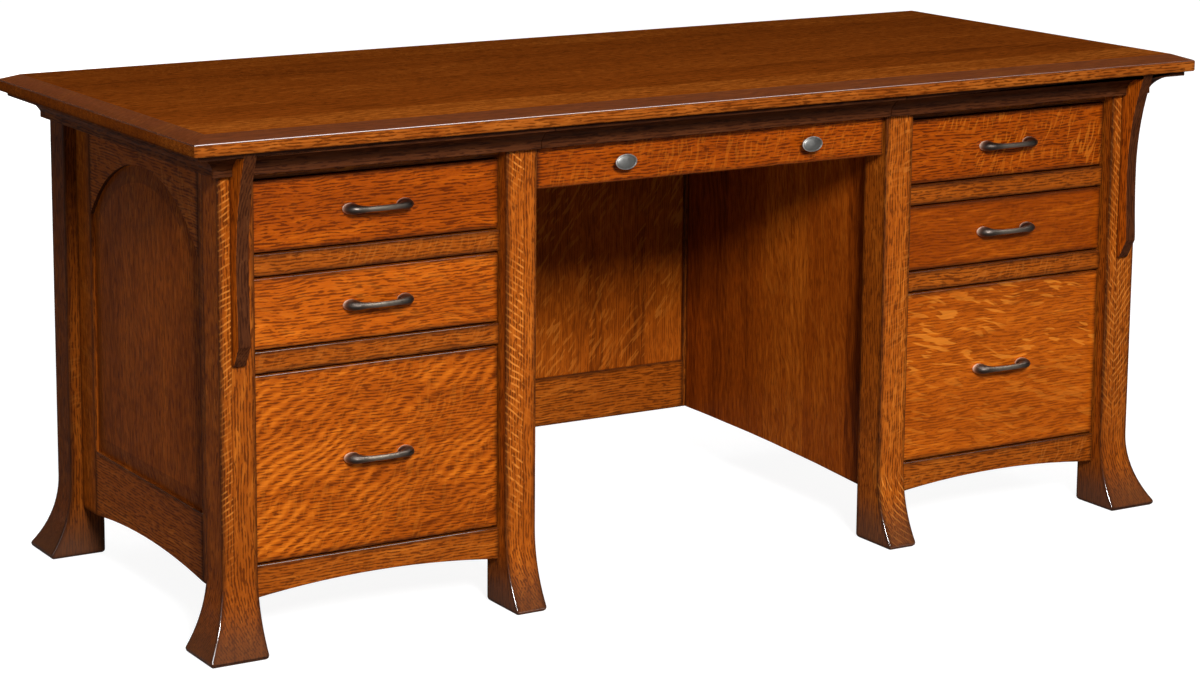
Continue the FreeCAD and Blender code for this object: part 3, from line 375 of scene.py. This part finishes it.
# Materials
def oak(name, tones, rays=(70, 30, 190), hatch=None, mirror=False, flames=(8, 60, 0.1), boards=0.0,
        dash=0.85, swing=0.5, lean=0.0, glue=0.0, edge_stain_and_shade=0.75, ends=0.0, arcs=0.0,
        coat=0.035, sheen=0.03, pitted=0.25):
    """Quarter-sawn oak. Its pattern follows each board's own grain coordinates.

    rays: their angle to the grain, and their pace along and across
    hatch: the angle and the pace of rays that stand in even rows
    mirror: whether the rays mirror at the glue line
    flames: the angle, the pace and the strength of the flames
    boards: the width of the boards in a panel
    dash, swing, lean: the strength of the pores, of the clouds and of a change of tone across the board,
    on the top a painted shade that darkens it towards the back
    glue, burnish: how dark the glue line and the arrises are, the arrises with built-up stain and painted
    shade
    ends, arcs: the strength of a foot's darker tone, a stain with a painted grey sheen, and of its arcs
    coat, sheen, pitted: the lacquer, the gloss of the wood and its relief
    """
    material, tree, shader = new_material(name)
    grain = Grain(tree, boards)
    seam, figure_before, figure_after = parts_of(tree, stored(tree, "figure"))
    offset = calc(tree, "SUBTRACT", grain.sideways, seam)
    from_seam = calc(tree, "ABSOLUTE", offset)
    figure = choose(tree, calc(tree, "LESS_THAN", offset, 0.0), figure_after, figure_before)
    if ends:
        figure = times(tree, figure, ramp(tree, grain.level, *FIGURE_HEIGHTS, LEAST_FIGURE, 1.0))
    if boards:
        figure = times(tree, figure, grain.board_tone, BOARD_FIGURE)

    clouds = noise(tree, grain.straight, CLOUD_PACE)
    lines = noise(tree, grain.wavy, LINE_PACE, detail=3)
    flame_angle, flame_pace, flame_strength = flames
    flame = flame_marks(grain, flame_angle, flame_pace)
    pores = pore_marks(grain, flame, flame_strength)
    ray = ray_marks(grain, from_seam if mirror else grain.across, rays, hatch)

    parts = [(clouds, CLOUD_SHARE * swing), (lines, LINE_SHARE), (grain.board_tone, BOARD_SHARE)]
    tone = total(tree, *parts, (flame, flame_strength), (grain.sideways, lean))
    middle = sum(share for _, share in parts) / 2 + flame_strength * FLAME_MEAN
    color = blend(tree, ramp(tree, tone, middle - TONE_STEP, middle), tones[0], tones[1])
    color = blend(tree, ramp(tree, tone, middle, middle + TONE_STEP), color, tones[2])
    color = blend(tree, times(tree, pores, dash), color, tones[0])
    color = blend(tree, times(tree, ray, figure), color, tones[3])
    if glue:
        color = blend(tree, ramp(tree, from_seam, *GLUE_FADE, glue, 0.0), color, tones[0])
    if arcs:
        color = blend(tree, arc_marks(grain, arcs), color, tones[3])
    foot = 0.0
    if ends:
        # The foot turns a greyish brown towards the floor: a darker stain and a painted sheen
        foot = ramp(tree, grain.level, *FOOT_TONE_HEIGHTS, ends, 0.0)
        color = blend(tree, foot, color, FOOT_BROWN_AND_SHEEN)
    # Dark arrises: built-up stain, and painted shade that darkens each board's edges beside gaps and joints
    ragged = total(tree, (grain.arris, 1.0), (grain.waver, STAIN_AND_SHADE_RAGGED))
    color = blend(tree, ramp(tree, ragged, *STAIN_AND_SHADE_FADE, edge_stain_and_shade, 0.0), color, ARRIS_STAIN_AND_SHADE)

    tree.links.new(color, shader.inputs["Base Color"])
    tree.links.new(ramp(tree, lines, *GLOSS_EDGE, *GLOSS_ROUGHNESS), shader.inputs["Roughness"])
    shader.inputs["Specular IOR Level"].default_value = sheen
    lay_lacquer(grain, shader, foot, coat)
    lay_relief(grain, shader, lines, pores, pitted)
    return material


def metal(name, color, worn_and_highlight, roughness, patina=0.5):
    """Cast metal: a mottled patina, rubbed bright, and partly a painted highlight, where the wear attribute
    says.
    """
    material, tree, shader = new_material(name)
    place = add(tree, "ShaderNodeTexCoord").outputs["Object"]
    mottle = noise(tree, place, MOTTLE_PACE, detail=4)
    wear_and_highlight = add(tree, "ShaderNodeAttribute", attribute_name="wear_and_highlight").outputs["Fac"]
    rubbed_and_lit = times(tree, wear_and_highlight, ramp(tree, mottle, *RUBBED_AND_LIT_EDGE, RUBBED_AND_LIT_LEAST, 1.0))
    dark = tuple(channel * MOTTLE_DARK for channel in color)
    dull = blend(tree, times(tree, ramp(tree, mottle, *MOTTLE_EDGE), patina), color, dark)
    gloss = [roughness + change for change in METAL_GLOSS]
    tree.links.new(blend(tree, rubbed_and_lit, dull, worn_and_highlight), shader.inputs["Base Color"])
    tree.links.new(ramp(tree, mottle, *GLOSS_EDGE, *gloss), shader.inputs["Roughness"])
    tree.links.new(calc(tree, "MULTIPLY_ADD", rubbed_and_lit, RUBBED_AND_LIT_LOSS, 1.0), shader.inputs["Metallic"])
    return material


def shaded(tones, share):
    """The tones at that share of their light."""
    return tuple(tuple(channel * share for channel in tone) for tone in tones)


def redder(tones):
    return tuple((red, green * REDDER_GREEN, blue * REDDER_BLUE) for red, green, blue in tones)


OAK_LOOKS = {
    # Upper and centre drawer fronts: darker tones, a painted shade under the top's overhang
    "front_oak": dict(tones=shaded(redder(FRONT_TONES), 0.74), rays=(72, 28, 190)),
    "flame_oak": dict(tones=shaded(FRONT_TONES, 0.92), flames=(32, 66, 0.26)),
    "flake_oak": dict(tones=shaded(FRONT_TONES, 1.07), rays=(-12, 24, 130)),
    "calm_oak": dict(tones=FRONT_TONES, rays=(-12, 24, 130), dash=0.55),
    "still_oak": dict(tones=shaded(redder(FRONT_TONES), 0.64), dash=0.45),
    "case_oak": dict(tones=shaded(CASE_TONES, 0.88)),
    "leg_oak": dict(tones=CASE_TONES, glue=0.4, ends=0.75, arcs=0.8),
    # Back legs: darker tones, a painted shade
    "shaded_rear_oak": dict(tones=shaded(CASE_TONES, 0.42), ends=0.75),
    "fishbone_oak": dict(tones=CASE_TONES, hatch=(127, 110), glue=0.6, ends=0.75),
    "herringbone_oak": dict(
        tones=shaded(CASE_TONES, 0.9), hatch=(40, 120), mirror=True, glue=0.5, ends=0.75,
    ),
    "ripple_oak": dict(tones=shaded(CASE_TONES, 0.8), hatch=(64, 118), glue=0.5, ends=0.75),
    # The top darkens towards the back: a painted shade
    "top_oak": dict(
        tones=shaded(TOP_TONES, 1.12), boards=TOP_BOARD, swing=0.4, lean=-0.26, edge_stain_and_shade=0.34,
        coat=0.012, sheen=0.0,
    ),
    "bevel_oak": dict(tones=shaded(TOP_TONES, 0.4), dash=0.4, edge_stain_and_shade=0.6, coat=0.08, pitted=0.03),
    "arris_oak": dict(tones=shaded(TOP_TONES, 0.6), dash=0.3, edge_stain_and_shade=0.2, coat=1.0, pitted=0.02),
    # Mouldings, corbels' fronts and arches' undersides: very dark tones, partly browner oak and mostly
    # painted shade
    "dark_oak": dict(tones=DARK_AND_SHADED_TONES, edge_stain_and_shade=0.4),
    "side_oak": dict(tones=PANEL_TONES, rays=(35, 30, 170)),
    # Panel's sloping rim: darker, a painted shade along the arch
    "rim_shade_oak": dict(tones=shaded(PANEL_TONES, 0.75)),
    # Mouldings' sides: darker, partly browner oak and partly painted shade
    "brown_shaded_oak": dict(tones=shaded(CASE_TONES, 0.4), edge_stain_and_shade=0.4),
    "panel_oak": dict(tones=PANEL_TONES, rays=(35, 30, 170), boards=KNEE_BOARD, dash=0.5),
    # Kneehole's walls: redder tones, a painted redder shade
    "knee_shade_oak": dict(
        tones=shaded(redder(CASE_TONES), 0.9), rays=(20, 30, 170), boards=KNEE_BOARD, dash=0.5,
    ),
    "box_wood": dict(tones=BOX_TONES, dash=0.2, edge_stain_and_shade=0.15),
}
OAKS = {name: oak(name, **look) for name, look in OAK_LOOKS.items()}
# The pale cream worn colours: rubbed metal, and a painted highlight on the rims and the pull's bar
BRONZE = metal("pull_bronze", (0.085, 0.068, 0.058), (0.95, 0.80, 0.62), 0.42)
PEWTER = metal("knob_pewter", (0.27, 0.265, 0.25), (0.70, 0.65, 0.57), 0.48, patina=0.15)
STEEL = metal("slide_steel", (0.52, 0.52, 0.53), (0.7, 0.7, 0.7), 0.32, patina=0.2)

# Boards with a glue line: its place across the board and the rays before and after it
SEAMED = {
    "leg_front_left": (-0.010, 0.75, 0.1),
    "leg_front_left_inner": (0.004, 0.7, 0.1),
    "leg_front_right_inner": (0.010, 0.1, 0.25),
    "leg_front_right": (-0.006, 0.5, 0.6),
    "drawer_right_file_front": (0.01, 0.2, 0.5),
}

# The rays in boards without a glue line, and how many the other boards may have
FIGURED = {
    "drawer_left_upper_front": 0.05,
    "drawer_left_middle_front": 0.1,
    "drawer_left_file_front": 0.1,
    "drawer_center_front": 0.2,
    "drawer_right_upper_front": 0.45,
    "drawer_right_middle_front": 0.05,
    "back_panels": 0.6,
    "side_panels": 0.08,
    "moulding_front": 0,
    "moulding_sides": 0,
    "moulding_back": 0,
    "corbels": 0,
    "top_panel": 0.1,
}
FAINT_FIGURE = (0.03, 0.18)
NO_SEAM = -9

# Boards cut from another oak than their slot's, or toned darker or redder as painted shade, and the oaks of
# some of their faces
SHOWY = {
    "corbels": "flake_oak",
    "drawer_left_file_front": "flame_oak",
    "drawer_right_file_front": "calm_oak",
    "leg_front_left": "ripple_oak",
    "leg_front_left_inner": "fishbone_oak",
    "leg_front_right_inner": "leg_oak",
    "leg_front_right": "herringbone_oak",
    "leg_back_left": "shaded_rear_oak",
    "leg_back_right": "shaded_rear_oak",
    "drawer_left_middle_front": "flake_oak",
    "drawer_right_middle_front": "still_oak",
    "side_panels": "side_oak",
    "moulding_sides": "brown_shaded_oak",
    "inner_side_left": "knee_shade_oak",
    "inner_side_right": "knee_shade_oak",
}
FACE_OAKS = {
    "corbels": ["dark_oak"],
    "top_panel": ["bevel_oak", "arris_oak"],
    "side_panels": ["rim_shade_oak"],
    "side_frame_left": ["dark_oak"],
    "side_frame_right": ["dark_oak"],
}
UPRIGHT_GRAIN = ("back_panels", "side_panels", "inner_side_left", "inner_side_right")

# Parts of a normal by which faces are told apart
CORBEL_FRONT = -0.5
BEVEL_RISE = (0.93, 0.995)
ARRIS_RISE = (0.1, 0.93)
RIM_SIDEWAYS = (0.05, 0.99)
ARCH_SIDEWAYS = 0.5
ARCH_FALL = (-0.98, -0.05)

# Rounding of the arrises: nodes with a wide one, widths, steps and the angles that tell an arris
WIDE_ARRISES = ("leg_", "rails_", "drawer_", "top_panel")
WIDE_ARRIS = 0.002
FINE_ARRIS = 0.0012
ARRIS_STEPS = 2
ARRIS_ANGLE = math.radians(32)
SHARP_ANGLE = math.radians(25)
FLAT_ANGLE = math.radians(0.6)

# Legs: heights of the flare and the toe, rings up the flare, rounding of the toe, the least section
FLARE_TOP = 0.125
FLARE_STEPS = 12
TOE_TOP = 0.008
TOE_ROUNDING = 0.006
TOE_STEPS = 3
LEG_LEAST = 0.03

# Digits that tell places and levels apart, lengths that count as nothing, and a wide face's least side
PLACE_DIGITS = 6
LEVEL_DIGITS = 4
LEAST_RISE = 1e-6
LEVEL_SLACK = 1e-5
FLOOR_SLACK = 0.0005
LEAST_SIDE = 0.01

# Chance: its seed, how far the grain may start from a board's middle and which board a panel may start at
SEED = 7
START_REACH = 9
BOARD_CHOICES = 60
FIRST_BOARD = 2


# Boards
def face_oak(node, normal):
    """Which of its board's oaks a face carries.

    A corbel's front, the top's bevel and arris, a panel's sloping rim and the underside of an arch have
    their own. The darker oaks of the corbel's front, the rim and the arch's underside paint shade there.
    """
    if node == "corbels":
        return int(normal.y < CORBEL_FRONT)
    if node == "top_panel":
        if BEVEL_RISE[0] < normal.z < BEVEL_RISE[1]:
            return 1
        return 2 if ARRIS_RISE[0] < normal.z <= ARRIS_RISE[1] else 0
    if node == "side_panels":
        return int(RIM_SIDEWAYS[0] < abs(normal.x) < RIM_SIDEWAYS[1])
    return int(abs(normal.x) < ARCH_SIDEWAYS and ARCH_FALL[0] < normal.z < ARCH_FALL[1])


def solids_of(node):
    """The node's solids in turn. A solid is whole once every edge of it has been met from both sides."""
    mesh = frame["nodes"][node].data
    solids = []
    faces = []
    open_edges = set()
    for polygon in mesh.polygons:
        places = [mesh.vertices[index].co for index in polygon.vertices]
        corners = [tuple(round(part, PLACE_DIGITS) for part in place) for place in places]
        faces.append(corners)
        for edge in zip(corners, corners[1:] + corners[:1]):
            if edge[::-1] in open_edges:
                open_edges.remove(edge[::-1])
            else:
                open_edges.add(edge)
        if not open_edges:
            solids.append(faces)
            faces = []
    return solids + [faces] if faces else solids


def clean_solid(faces):
    """One solid as a mesh of whole flat faces."""
    solid = bmesh.new()
    points = {}
    for corners in faces:
        for corner in corners:
            if corner not in points:
                points[corner] = solid.verts.new(corner)
        ring = [points[corner] for corner in corners]
        if len(set(ring)) == len(ring) and not solid.faces.get(ring):
            solid.faces.new(ring)
    solid.normal_update()
    bmesh.ops.dissolve_limit(solid, angle_limit=FLAT_ANGLE, verts=solid.verts, edges=solid.edges)
    return solid


def box_of(points):
    low = Vector([min(point[axis] for point in points) for axis in range(3)])
    high = Vector([max(point[axis] for point in points) for axis in range(3)])
    return low, high


def whole_box(solid):
    return box_of([vertex.co for vertex in solid.verts])


def main_box(solid):
    """The board's box, without tongues and tenons: its widest face sets the sides that it spans."""
    low, high = whole_box(solid)
    widest = max(solid.faces, key=lambda face: face.calc_area())
    near, far = box_of([vertex.co for vertex in widest.verts])
    for axis in range(3):
        if far[axis] - near[axis] > LEAST_SIDE:
            low[axis] = near[axis]
            high[axis] = far[axis]
    return low, high


def join_rings(builder, rings):
    """Faces from ring to ring of vertices, and over both ends."""
    count = len(rings[0])
    for first, second in zip(rings, rings[1:]):
        for index in range(count):
            after = (index + 1) % count
            builder.faces.new((first[index], first[after], second[after], second[index]))
    builder.faces.new(rings[0][::-1])
    builder.faces.new(rings[-1])


def section_box(solid, height):
    """The box of a leg's section at that height."""
    points = []
    for edge in solid.edges:
        low, high = sorted((vertex.co for vertex in edge.verts), key=lambda point: point.z)
        rise = high.z - low.z
        if rise > LEAST_RISE and low.z <= height <= high.z:
            points.append(low.lerp(high, (height - low.z) / rise))
    return box_of(points)


def ringed_leg(solid):
    """A leg again as level rings of four corners, close together up its flare."""
    low, high = whole_box(solid)
    step = (FLARE_TOP - TOE_TOP) / FLARE_STEPS
    levels = [0.0] + [TOE_TOP + step * index for index in range(FLARE_STEPS + 2)] + [high.z - low.z]
    leg = bmesh.new()
    rings = []
    for level in levels:
        near, far = section_box(solid, low.z + level)
        corners = [(near.x, near.y), (far.x, near.y), (far.x, far.y), (near.x, far.y)]
        rings.append([leg.verts.new((x, y, low.z + level)) for x, y in corners])
    join_rings(leg, rings)
    solid.free()
    return leg


def round_toe(leg):
    """Rounds the edges that a leg stands on."""
    edges = [edge for edge in leg.edges if all(abs(vertex.co.z) < FLOOR_SLACK for vertex in edge.verts)]
    bmesh.ops.bevel(
        leg, geom=edges, offset=TOE_ROUNDING, segments=TOE_STEPS, profile=0.5, affect="EDGES",
        clamp_overlap=True,
    )


def leg_boxes(points):
    """The leg's box at each level that crosses the whole of it."""
    levels = {}
    for point in points:
        levels.setdefault(round(point.z, LEVEL_DIGITS), []).append(point)
    boxes = [box_of(row) for _, row in sorted(levels.items())]
    return [(low, high) for low, high in boxes if min(high.x - low.x, high.y - low.y) > LEG_LEAST]


def leg_box(boxes, z):
    """The leg's box at that height, between the levels next to it."""
    lower = [box for box in boxes if box[0].z <= z + LEVEL_SLACK]
    upper = [box for box in boxes if box[0].z >= z - LEVEL_SLACK]
    below = lower[-1] if lower else boxes[0]
    above = upper[0] if upper else boxes[-1]
    gap = above[0].z - below[0].z
    share = (z - below[0].z) / gap if gap else 0.0
    return below[0].lerp(above[0], share), below[1].lerp(above[1], share)


def grain_order(node, body):
    """The axes along the grain, across it and through the board."""
    if node.startswith("leg_"):
        return [2, 0, 1]
    if node.startswith("rails_"):
        return [0, 2, 1]
    sizes = body[1] - body[0]
    order = sorted(range(3), key=lambda axis: -sizes[axis])
    if node in UPRIGHT_GRAIN:
        order.remove(2)
        order.insert(0, 2)
    return order


def lay_grain(mesh, node, body, chance):
    """Stores each board's grain coordinates, its place from the middle, its half size and its figure."""
    low, high = body
    order = grain_order(node, body)
    is_leg = node.startswith("leg_")
    boxes = leg_boxes([vertex.co for vertex in mesh.vertices]) if is_leg else None
    start = [chance.uniform(0, START_REACH) for _ in range(3)]
    if node in UPRIGHT_GRAIN:
        start[1] = KNEE_BOARD * (chance.randrange(BOARD_CHOICES) + FIRST_BOARD) - KNEE_SEAM
    faint = chance.uniform(*FAINT_FIGURE)
    figure = SEAMED.get(node, (NO_SEAM, 0, FIGURED.get(node, faint)))
    middle = (low + high) / 2
    rows = {"grain": [], "local": [], "span": [], "figure": []}
    for vertex in mesh.vertices:
        near, far = leg_box(boxes, vertex.co.z) if is_leg else (low, high)
        place = vertex.co - middle
        local = vertex.co - (near + far) / 2
        half = (far - near) / 2
        if is_leg:
            local.z = place.z
            half.z = (high.z - low.z) / 2
        rows["grain"] += [place[axis] + start[index] for index, axis in enumerate(order)]
        rows["local"] += [local[axis] for axis in order]
        rows["span"] += [half[axis] for axis in order]
        rows["figure"] += figure
    for name, values in rows.items():
        mesh.attributes.new(name, "FLOAT_VECTOR", "POINT").data.foreach_set("vector", values)


def finish_piece(mesh, name, node, materials, bevel=0.0):
    """A piece of that mesh in place of its node, with its arrises rounded."""
    piece = bpy.data.objects.new(name, mesh)
    bpy.context.scene.collection.objects.link(piece)
    for material in materials:
        mesh.materials.append(material)
    mesh.polygons.foreach_set("use_smooth", [True] * len(mesh.polygons))
    mesh.set_sharp_from_angle(angle=SHARP_ANGLE)
    if bevel:
        arris = piece.modifiers.new("arris", "BEVEL")
        arris.width = bevel
        arris.segments = ARRIS_STEPS
        arris.limit_method = "ANGLE"
        arris.angle_limit = ARRIS_ANGLE
        arris.harden_normals = True
    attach(piece, BODY_OF[node])
    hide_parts(node)


def make_boards(node, chance):
    is_leg = node.startswith("leg_")
    names = [SHOWY.get(node, SLOT_OF[node])] + FACE_OAKS.get(node, [])
    bevel = WIDE_ARRIS if node.startswith(WIDE_ARRISES) else FINE_ARRIS
    for index, faces in enumerate(solids_of(node)):
        solid = clean_solid(faces)
        body = whole_box(solid) if is_leg or node == "top_panel" else main_box(solid)
        if is_leg:
            solid = ringed_leg(solid)
            round_toe(solid)
        name = f"{node}_board_{index}"
        mesh = bpy.data.meshes.new(name)
        solid.to_mesh(mesh)
        solid.free()
        lay_grain(mesh, node, body, chance)
        finish_piece(mesh, name, node, [OAKS[oak_name] for oak_name in names], bevel)
        if node in FACE_OAKS:
            for face in mesh.polygons:
                face.material_index = face_oak(node, face.normal)


# Half of a pull in millimetres: place along it, rise, half length and half width of the section, lean, and
# wear, partly a painted highlight
PULL_STATIONS = [
    (-45.0, 0.0, 11.8, 7.6, 0, 1.0),
    (-45.0, 1.8, 12.6, 8.1, 3, 1.0),
    (-44.4, 6.0, 12.6, 8.2, 10, 0.2),
    (-42.4, 11.8, 11.2, 7.6, 28, 0.0),
    (-37.6, 16.4, 8.2, 6.2, 52, 0.0),
    (-29.0, 19.4, 5.2, 4.8, 72, 0.06),
    (-17.0, 21.4, 4.1, 4.2, 84, 0.14),
    (0.0, 22.4, 3.9, 4.1, 90, 0.16),
]
PULL_CORNERS = 28
PULL_STEPS = 5

# A knob in millimetres: rise from the drawer, half length, half width and wear, which on the rim is a
# painted highlight
KNOB_STATIONS = [
    (0.0, 8.0, 6.0, 0.1),
    (2.0, 7.4, 5.4, 0.0),
    (7.0, 6.5, 4.6, 0.0),
    (11.0, 11.0, 7.0, 0.0),
    (14.0, 17.8, 11.3, 0.2),
    (15.0, 18.9, 12.0, 0.5),
    (16.2, 19.0, 12.1, 0.6),
    (17.0, 18.3, 11.5, 0.3),
    (17.2, 17.2, 10.8, 0.0),
    (17.0, 16.6, 10.3, 0.0),
    (17.6, 15.4, 9.3, 0.0),
    (18.6, 11.0, 6.6, 0.0),
    (19.4, 5.0, 3.0, 0.0),
]
KNOB_CORNERS = 48
KNOB_STEPS = 3
KNOB_HALF = 0.019
MILLIMETRES = 1000


# Pulls and knobs
def smooth_run(stations, steps):
    """Stations joined by a smooth curve through them all."""
    run = []
    last = len(stations) - 1
    for index in range(last):
        rows = [stations[max(index - 1, 0)], stations[index], stations[index + 1]]
        rows.append(stations[min(index + 2, last)])
        for step in range(steps):
            t = step / steps
            weights = (
                (2 * t**2 - t - t**3) / 2,
                (2 - 5 * t**2 + 3 * t**3) / 2,
                (t + 4 * t**2 - 3 * t**3) / 2,
                (t**3 - t**2) / 2,
            )
            run.append([sum(w * row[k] for w, row in zip(weights, rows)) for k in range(len(rows[0]))])
    run.append(list(stations[-1]))
    return run


def skin(name, rings, wear_and_highlight):
    """A closed mesh over rings of points, with a wear value for each ring."""
    builder = bmesh.new()
    join_rings(builder, [[builder.verts.new(point) for point in ring] for ring in rings])
    bmesh.ops.recalc_face_normals(builder, faces=builder.faces)
    mesh = bpy.data.meshes.new(name)
    builder.to_mesh(mesh)
    builder.free()
    values = [max(0.0, amount) for amount in wear_and_highlight for _ in rings[0]]
    mesh.attributes.new("wear_and_highlight", "FLOAT", "POINT").data.foreach_set("value", values)
    return mesh


def circle(corners):
    """The angles of a ring's corners."""
    return [2 * math.pi * corner / corners for corner in range(corners)]


def make_pull(node):
    low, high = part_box(node)
    base = Vector(((low.x + high.x) / 2, high.y, (low.z + high.z) / 2))
    run = PULL_STATIONS + [(-row[0], *row[1:4], 180 - row[4], row[5]) for row in PULL_STATIONS[-2::-1]]
    rings = []
    wear_and_highlight_rows = []
    for x, rise, long, wide, lean, wear_and_highlight in smooth_run(run, PULL_STEPS):
        outward = Vector((math.cos(math.radians(lean)), math.sin(math.radians(lean)), 0))
        ring = []
        for turn in circle(PULL_CORNERS):
            point = Vector((x, -rise, 0)) + outward * (math.cos(turn) * long)
            point.z = math.sin(turn) * wide
            point.y = min(point.y, 0)
            ring.append(base + point / MILLIMETRES)
        rings.append(ring)
        wear_and_highlight_rows.append(wear_and_highlight)
    name = node + "_cast"
    finish_piece(skin(name, rings, wear_and_highlight_rows), name, node, [BRONZE])


def make_knobs(node):
    low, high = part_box(node)
    for index, x in enumerate((low.x + KNOB_HALF, high.x - KNOB_HALF)):
        base = Vector((x, high.y, (low.z + high.z) / 2))
        rings = []
        wear_and_highlight_rows = []
        for rise, long, wide, wear_and_highlight in smooth_run(KNOB_STATIONS, KNOB_STEPS):
            points = [(long * math.cos(turn), -rise, wide * math.sin(turn)) for turn in circle(KNOB_CORNERS)]
            rings.append([base + Vector(point) / MILLIMETRES for point in points])
            wear_and_highlight_rows.append(wear_and_highlight)
        name = f"{node}_cast_{index}"
        finish_piece(skin(name, rings, wear_and_highlight_rows), name, node, [PEWTER])


def dress_nodes():
    """Every node in the order of its name, so that chance falls the same way each time."""
    chance = random.Random(SEED)
    for node in sorted(frame["nodes"]):
        if node.endswith("_pull"):
            make_pull(node)
        elif node.endswith("_knobs"):
            make_knobs(node)
        elif SLOT_OF[node] == "slide_steel":
            frame["nodes"][node].data.materials.clear()
            frame["nodes"][node].data.materials.append(STEEL)
        else:
            make_boards(node, chance)


# The floor: half its side, its grey under the light, its roughness and the white it adds for the eye
FLOOR_REACH = 30
FLOOR_GREY = (0.2, 0.2, 0.2, 1)
FLOOR_ROUGHNESS = 0.9
FLOOR_WHITE = 0.9

# The room: its light on the wood, and what reflections see of it low down and overhead
WHITE = (1, 1, 1, 1)
ROOM_LIGHT = 0.12
ROOM_LOW = 0.05
ROOM_OVERHEAD = 9.0
OVERHEAD_EDGE = (0.7, 0.92)

# Lights: place, target, size, power in watts and whether reflections show it
LIGHTS = {
    "key": ((-1.75, -5.85, 3.8), (0, 0, 0.4), (1.4, 1.4), 640, True),
    "fill": ((-3.4, -2.0, 1.0), (0, 0, 0.4), (1.6, 1.6), 10, True),
    "rear": ((0.0, 6.0, 0.9), (0, 0, 0.5), (2.4, 1.4), 230, False),
    "right": ((6.0, 1.0, 0.9), (0, 0, 0.5), (2.4, 1.4), 150, False),
}

# Where the photograph was taken from
VIEW_AZIMUTH = math.radians(-29.12)
VIEW_ELEVATION = math.radians(10.25)
VIEW_DISTANCE = 5.078
VIEW_AIM = Vector((0, 0, 0.3935))
VIEW_SIDESTEP = -0.2527
VIEW_LIFT = 0.1587
VIEW_LENS = 92.0
VIEW_SENSOR = 36
VIEW_SHIFT = 0.121
VIEW_END = 100


# Floor, lights and camera
def make_floor():
    mesh = bpy.data.meshes.new("floor")
    corners = [(x * FLOOR_REACH, y * FLOOR_REACH, 0) for x, y in ((-1, -1), (1, -1), (1, 1), (-1, 1))]
    mesh.from_pydata(corners, [], [(0, 1, 2, 3)])
    floor = bpy.data.objects.new("floor", mesh)
    bpy.context.scene.collection.objects.link(floor)
    material, tree, shader = new_material("floor_white")
    shader.inputs["Base Color"].default_value = FLOOR_GREY
    shader.inputs["Roughness"].default_value = FLOOR_ROUGHNESS
    seen = add(tree, "ShaderNodeLightPath").outputs["Is Camera Ray"]
    glow = add(tree, "ShaderNodeEmission", {"Color": WHITE, "Strength": times(tree, seen, FLOOR_WHITE)})
    both = add(tree, "ShaderNodeAddShader", {0: shader.outputs[0], 1: glow.outputs[0]})
    tree.links.new(both.outputs[0], tree.nodes["Material Output"].inputs["Surface"])
    mesh.materials.append(material)


def make_world():
    """White to the eye, a faint grey to the wood and, in reflections, dark but for a soft light overhead."""
    world = bpy.data.worlds.new("studio")
    bpy.context.scene.world = world
    world.use_nodes = True
    tree = world.node_tree
    path = add(tree, "ShaderNodeLightPath").outputs
    rise = parts_of(tree, add(tree, "ShaderNodeTexCoord").outputs["Generated"])[2]
    mirrored = ramp(tree, rise, *OVERHEAD_EDGE, ROOM_LOW, ROOM_OVERHEAD)
    strength = choose(tree, path["Is Glossy Ray"], ROOM_LIGHT, mirrored)
    strength = choose(tree, path["Is Camera Ray"], strength, 1.0)
    back = tree.nodes["Background"]
    back.inputs["Color"].default_value = WHITE
    tree.links.new(strength, back.inputs["Strength"])


def area_light(name, place, target, size, power, mirrored):
    data = bpy.data.lights.new(name, "AREA")
    data.shape = "RECTANGLE"
    data.size, data.size_y = size
    data.energy = power
    lamp = bpy.data.objects.new(name, data)
    lamp.location = place
    lamp.rotation_euler = (Vector(target) - Vector(place)).to_track_quat("-Z", "Y").to_euler()
    lamp.visible_glossy = mirrored
    bpy.context.scene.collection.objects.link(lamp)


def make_camera():
    data = bpy.data.cameras.new("camera")
    data.lens = VIEW_LENS
    data.sensor_width = VIEW_SENSOR
    data.shift_x = VIEW_SHIFT
    data.shift_y = -VIEW_SHIFT
    data.clip_end = VIEW_END
    camera = bpy.data.objects.new("camera", data)
    sine = math.sin(VIEW_AZIMUTH)
    cosine = math.cos(VIEW_AZIMUTH)
    level = math.cos(VIEW_ELEVATION)
    back = Vector((sine * level, -cosine * level, math.sin(VIEW_ELEVATION)))
    right = Vector((cosine, sine, 0))
    up = back.cross(right)
    place = VIEW_AIM + back * VIEW_DISTANCE + right * VIEW_SIDESTEP + up * VIEW_LIFT
    turn = Matrix((right, up, back)).transposed().to_4x4()
    camera.matrix_world = Matrix.Translation(place) @ turn
    bpy.context.scene.collection.objects.link(camera)
    bpy.context.scene.camera = camera


dress_nodes()
make_floor()
make_world()
for name, setup in LIGHTS.items():
    area_light(name, *setup)
make_camera()
bpy.context.scene.view_settings.view_transform = "Standard"
